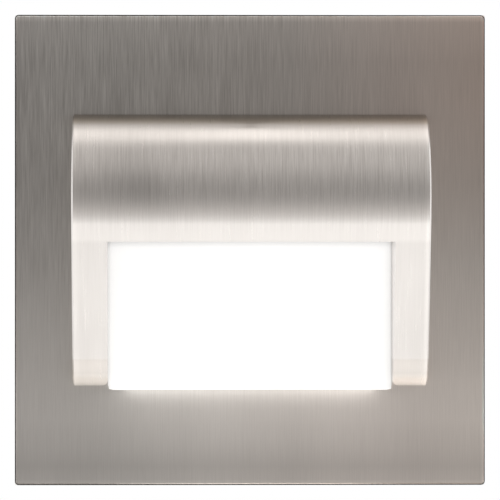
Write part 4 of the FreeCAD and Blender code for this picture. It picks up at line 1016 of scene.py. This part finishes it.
# %% [markdown]
# ## The studio
#
# Brushed steel shows what stands round it more than it shows lamps. Ahead of this light it is
# grey, and above and below it is bright, so that is what is built: a curved screen in front,
# bent round the X axis. A row of lamps could do it too, but their edges would show as bands on
# the hood. The camera looks through the screen, and it throws no shadow.

# %% The curved screen in front
SCREEN_RADIUS = 0.42
SCREEN_HALF_WIDTH = 0.75
SCREEN_FROM, SCREEN_TO = -125, 124
SCREEN_STEPS = 72
screen_mesh = bpy.data.meshes.new("studio_screen")
screen_points, screen_faces = [], []
for step in range(SCREEN_STEPS + 1):
    lift = math.radians(SCREEN_FROM + (SCREEN_TO - SCREEN_FROM) * step / SCREEN_STEPS)
    y, z = -SCREEN_RADIUS * math.cos(lift), SCREEN_RADIUS * math.sin(lift)
    screen_points += [(-SCREEN_HALF_WIDTH, y, z), (SCREEN_HALF_WIDTH, y, z)]
    if step:
        last = 2 * step
        screen_faces.append((last - 2, last - 1, last + 1, last))
screen_mesh.from_pydata(screen_points, [], screen_faces)
studio_screen = bpy.data.objects.new("studio_screen", screen_mesh)
bpy.context.scene.collection.objects.link(studio_screen)
studio_screen.visible_camera = False
studio_screen.visible_shadow = False
print("screen faces:", len(screen_faces))

# %% [markdown]
# ## How bright the screen is
#
# The screen's brightness changes with the angle above the horizon alone: it is dim ahead of the
# light, and bright below it and overhead. A picture could be put on the screen, but the steel
# blurs what it shows, so a few stops of angle and level are enough. What comes from below has
# a cooler tint than the rest.

# %% The screen's glow
SCREEN_LEVELS = [
    (-125, 1.1), (-100, 1.15), (-60, 1.25), (-36, 1.36), (-31, 0.88), (-20, 0.60), (-9, 0.43),
    (0, 0.325), (12, 0.285), (27, 0.345), (41, 0.46), (55, 0.53), (71, 0.50), (80, 0.58),
    (84, 0.85), (88, 1.20), (97, 1.32), (105, 1.25), (112, 1.15), (118, 0.95), (124, 0.7),
]
LOW_LIGHT_ENDS = -25
LOW_TINT, HIGH_TINT = (1.0, 0.985, 0.97), (1.0, 0.955, 0.92)
screen_glow = bpy.data.materials.new("screen_glow")
screen_glow.use_nodes = True
tree = screen_glow.node_tree
tree.nodes.clear()
output = tree.nodes.new("ShaderNodeOutputMaterial")
emission = tree.nodes.new("ShaderNodeEmission")
coordinates = tree.nodes.new("ShaderNodeTexCoord")
split = tree.nodes.new("ShaderNodeSeparateXYZ")
wire(tree, coordinates.outputs["Object"], split.inputs["Vector"])
ahead = math_node(tree, "MULTIPLY", split.outputs["Y"], -1)
angle = math_node(tree, "ARCTAN2", split.outputs["Z"], ahead)
share = tree.nodes.new("ShaderNodeMapRange")
share.inputs["From Min"].default_value = math.radians(SCREEN_FROM)
share.inputs["From Max"].default_value = math.radians(SCREEN_TO)
wire(tree, angle, share.inputs["Value"])
stops = []
for degrees, level in SCREEN_LEVELS:
    tint = LOW_TINT if degrees < LOW_LIGHT_ENDS else HIGH_TINT
    stops.append(((degrees - SCREEN_FROM) / (SCREEN_TO - SCREEN_FROM), tuple(level * part for part in tint)))
wire(tree, ramp(tree, share.outputs[0], stops), emission.inputs["Color"])
wire(tree, emission.outputs[0], output.inputs["Surface"])
screen_mesh.materials.append(screen_glow)
print("screen levels:", len(SCREEN_LEVELS))

# %% [markdown]
# ## The light that leaves the window
#
# The window throws its light down over the plate. The opal face alone is too flat to reach the
# steel below it, since much of the real light leaves the cap's lower edge. A lamp nearly as
# wide as the window, just under that edge and facing down, stands for it.

# %% Window light on the plate
GLOW_WIDTH, GLOW_DEPTH = 40.0 * MM, 14.0 * MM
GLOW_ENERGY = 0.0031
GLOW_AHEAD, GLOW_Z = 7.5 * MM, -22.3 * MM
glow_data = bpy.data.lights.new("window_light", "AREA")
glow_data.shape = "RECTANGLE"
glow_data.size = GLOW_WIDTH
glow_data.size_y = GLOW_DEPTH
glow_data.energy = GLOW_ENERGY
glow_data.color = (1.0, 0.985, 0.96)
window_light = bpy.data.objects.new("window_light", glow_data)
window_light.location = (0, plate_face_y - GLOW_AHEAD, GLOW_Z)
window_light.visible_camera = False
bpy.context.scene.collection.objects.link(window_light)
print("window light:", round(GLOW_WIDTH / MM), "mm wide")

# %% [markdown]
# ## The floor
#
# The light hangs in a white room. Its floor lies far below, so that the light can also be
# looked at from underneath. The floor takes part in the reflections as a pale matt surface,
# and it is plain white to the camera, so that no horizon crosses the picture.

# %% A pale floor
FLOOR_HALF, FLOOR_Z = 3, -1.1
FLOOR_ROUGHNESS = 0.8
corners = [(-1, -1), (1, -1), (1, 1), (-1, 1)]
floor_mesh = bpy.data.meshes.new("studio_floor")
floor_mesh.from_pydata([(x * FLOOR_HALF, y * FLOOR_HALF, FLOOR_Z) for x, y in corners], [], [(0, 1, 2, 3)])
studio_floor = bpy.data.objects.new("studio_floor", floor_mesh)
bpy.context.scene.collection.objects.link(studio_floor)
floor_paint, floor_tree, floor_shader = new_material("floor_paint")
floor_cloud = noise(floor_tree, 4)
wire(floor_tree, ramp(floor_tree, floor_cloud, [(0.3, grey(0.90)), (0.7, grey(0.93))]),
     floor_shader.inputs["Base Color"])
floor_shader.inputs["Roughness"].default_value = FLOOR_ROUGHNESS
floor_seen = floor_tree.nodes.new("ShaderNodeEmission")
floor_pick = floor_tree.nodes.new("ShaderNodeMixShader")
floor_path = floor_tree.nodes.new("ShaderNodeLightPath")
floor_output = next(node for node in floor_tree.nodes if node.type == "OUTPUT_MATERIAL")
floor_seen.inputs["Color"].default_value = (1, 1, 1, 1)
wire(floor_tree, floor_path.outputs["Is Camera Ray"], floor_pick.inputs["Fac"])
wire(floor_tree, floor_shader.outputs["BSDF"], floor_pick.inputs[1])
wire(floor_tree, floor_seen.outputs["Emission"], floor_pick.inputs[2])
wire(floor_tree, floor_pick.outputs["Shader"], floor_output.inputs["Surface"])
floor_mesh.materials.append(floor_paint)
print("floor at z =", FLOOR_Z)

# %% [markdown]
# ## The white world
#
# The world is white where it is looked at, directly, in a reflection or through the cap, and a
# little less than that where it lights the pieces, so that the shaded side keeps its form.

# %% The white world
ROOM_LIGHT = 0.6
world = bpy.data.worlds.new("white_room")
world.use_nodes = True
bpy.context.scene.world = world
tree = world.node_tree
tree.nodes.clear()
output = tree.nodes.new("ShaderNodeOutputWorld")
seen, lit, pick = (tree.nodes.new(kind) for kind in
                   ("ShaderNodeBackground", "ShaderNodeBackground", "ShaderNodeMixShader"))
seen.inputs["Color"].default_value = (1, 1, 1, 1)
lit.inputs["Color"].default_value = (1, 0.99, 0.98, 1)
lit.inputs["Strength"].default_value = ROOM_LIGHT
path = tree.nodes.new("ShaderNodeLightPath")
direct = math_node(tree, "MAXIMUM", path.outputs["Is Camera Ray"], path.outputs["Is Glossy Ray"])
direct = math_node(tree, "MAXIMUM", direct, path.outputs["Is Transmission Ray"])
wire(tree, direct, pick.inputs["Fac"])
wire(tree, lit.outputs[0], pick.inputs[1])
wire(tree, seen.outputs[0], pick.inputs[2])
wire(tree, pick.outputs[0], output.inputs["Surface"])
print("room light:", ROOM_LIGHT)
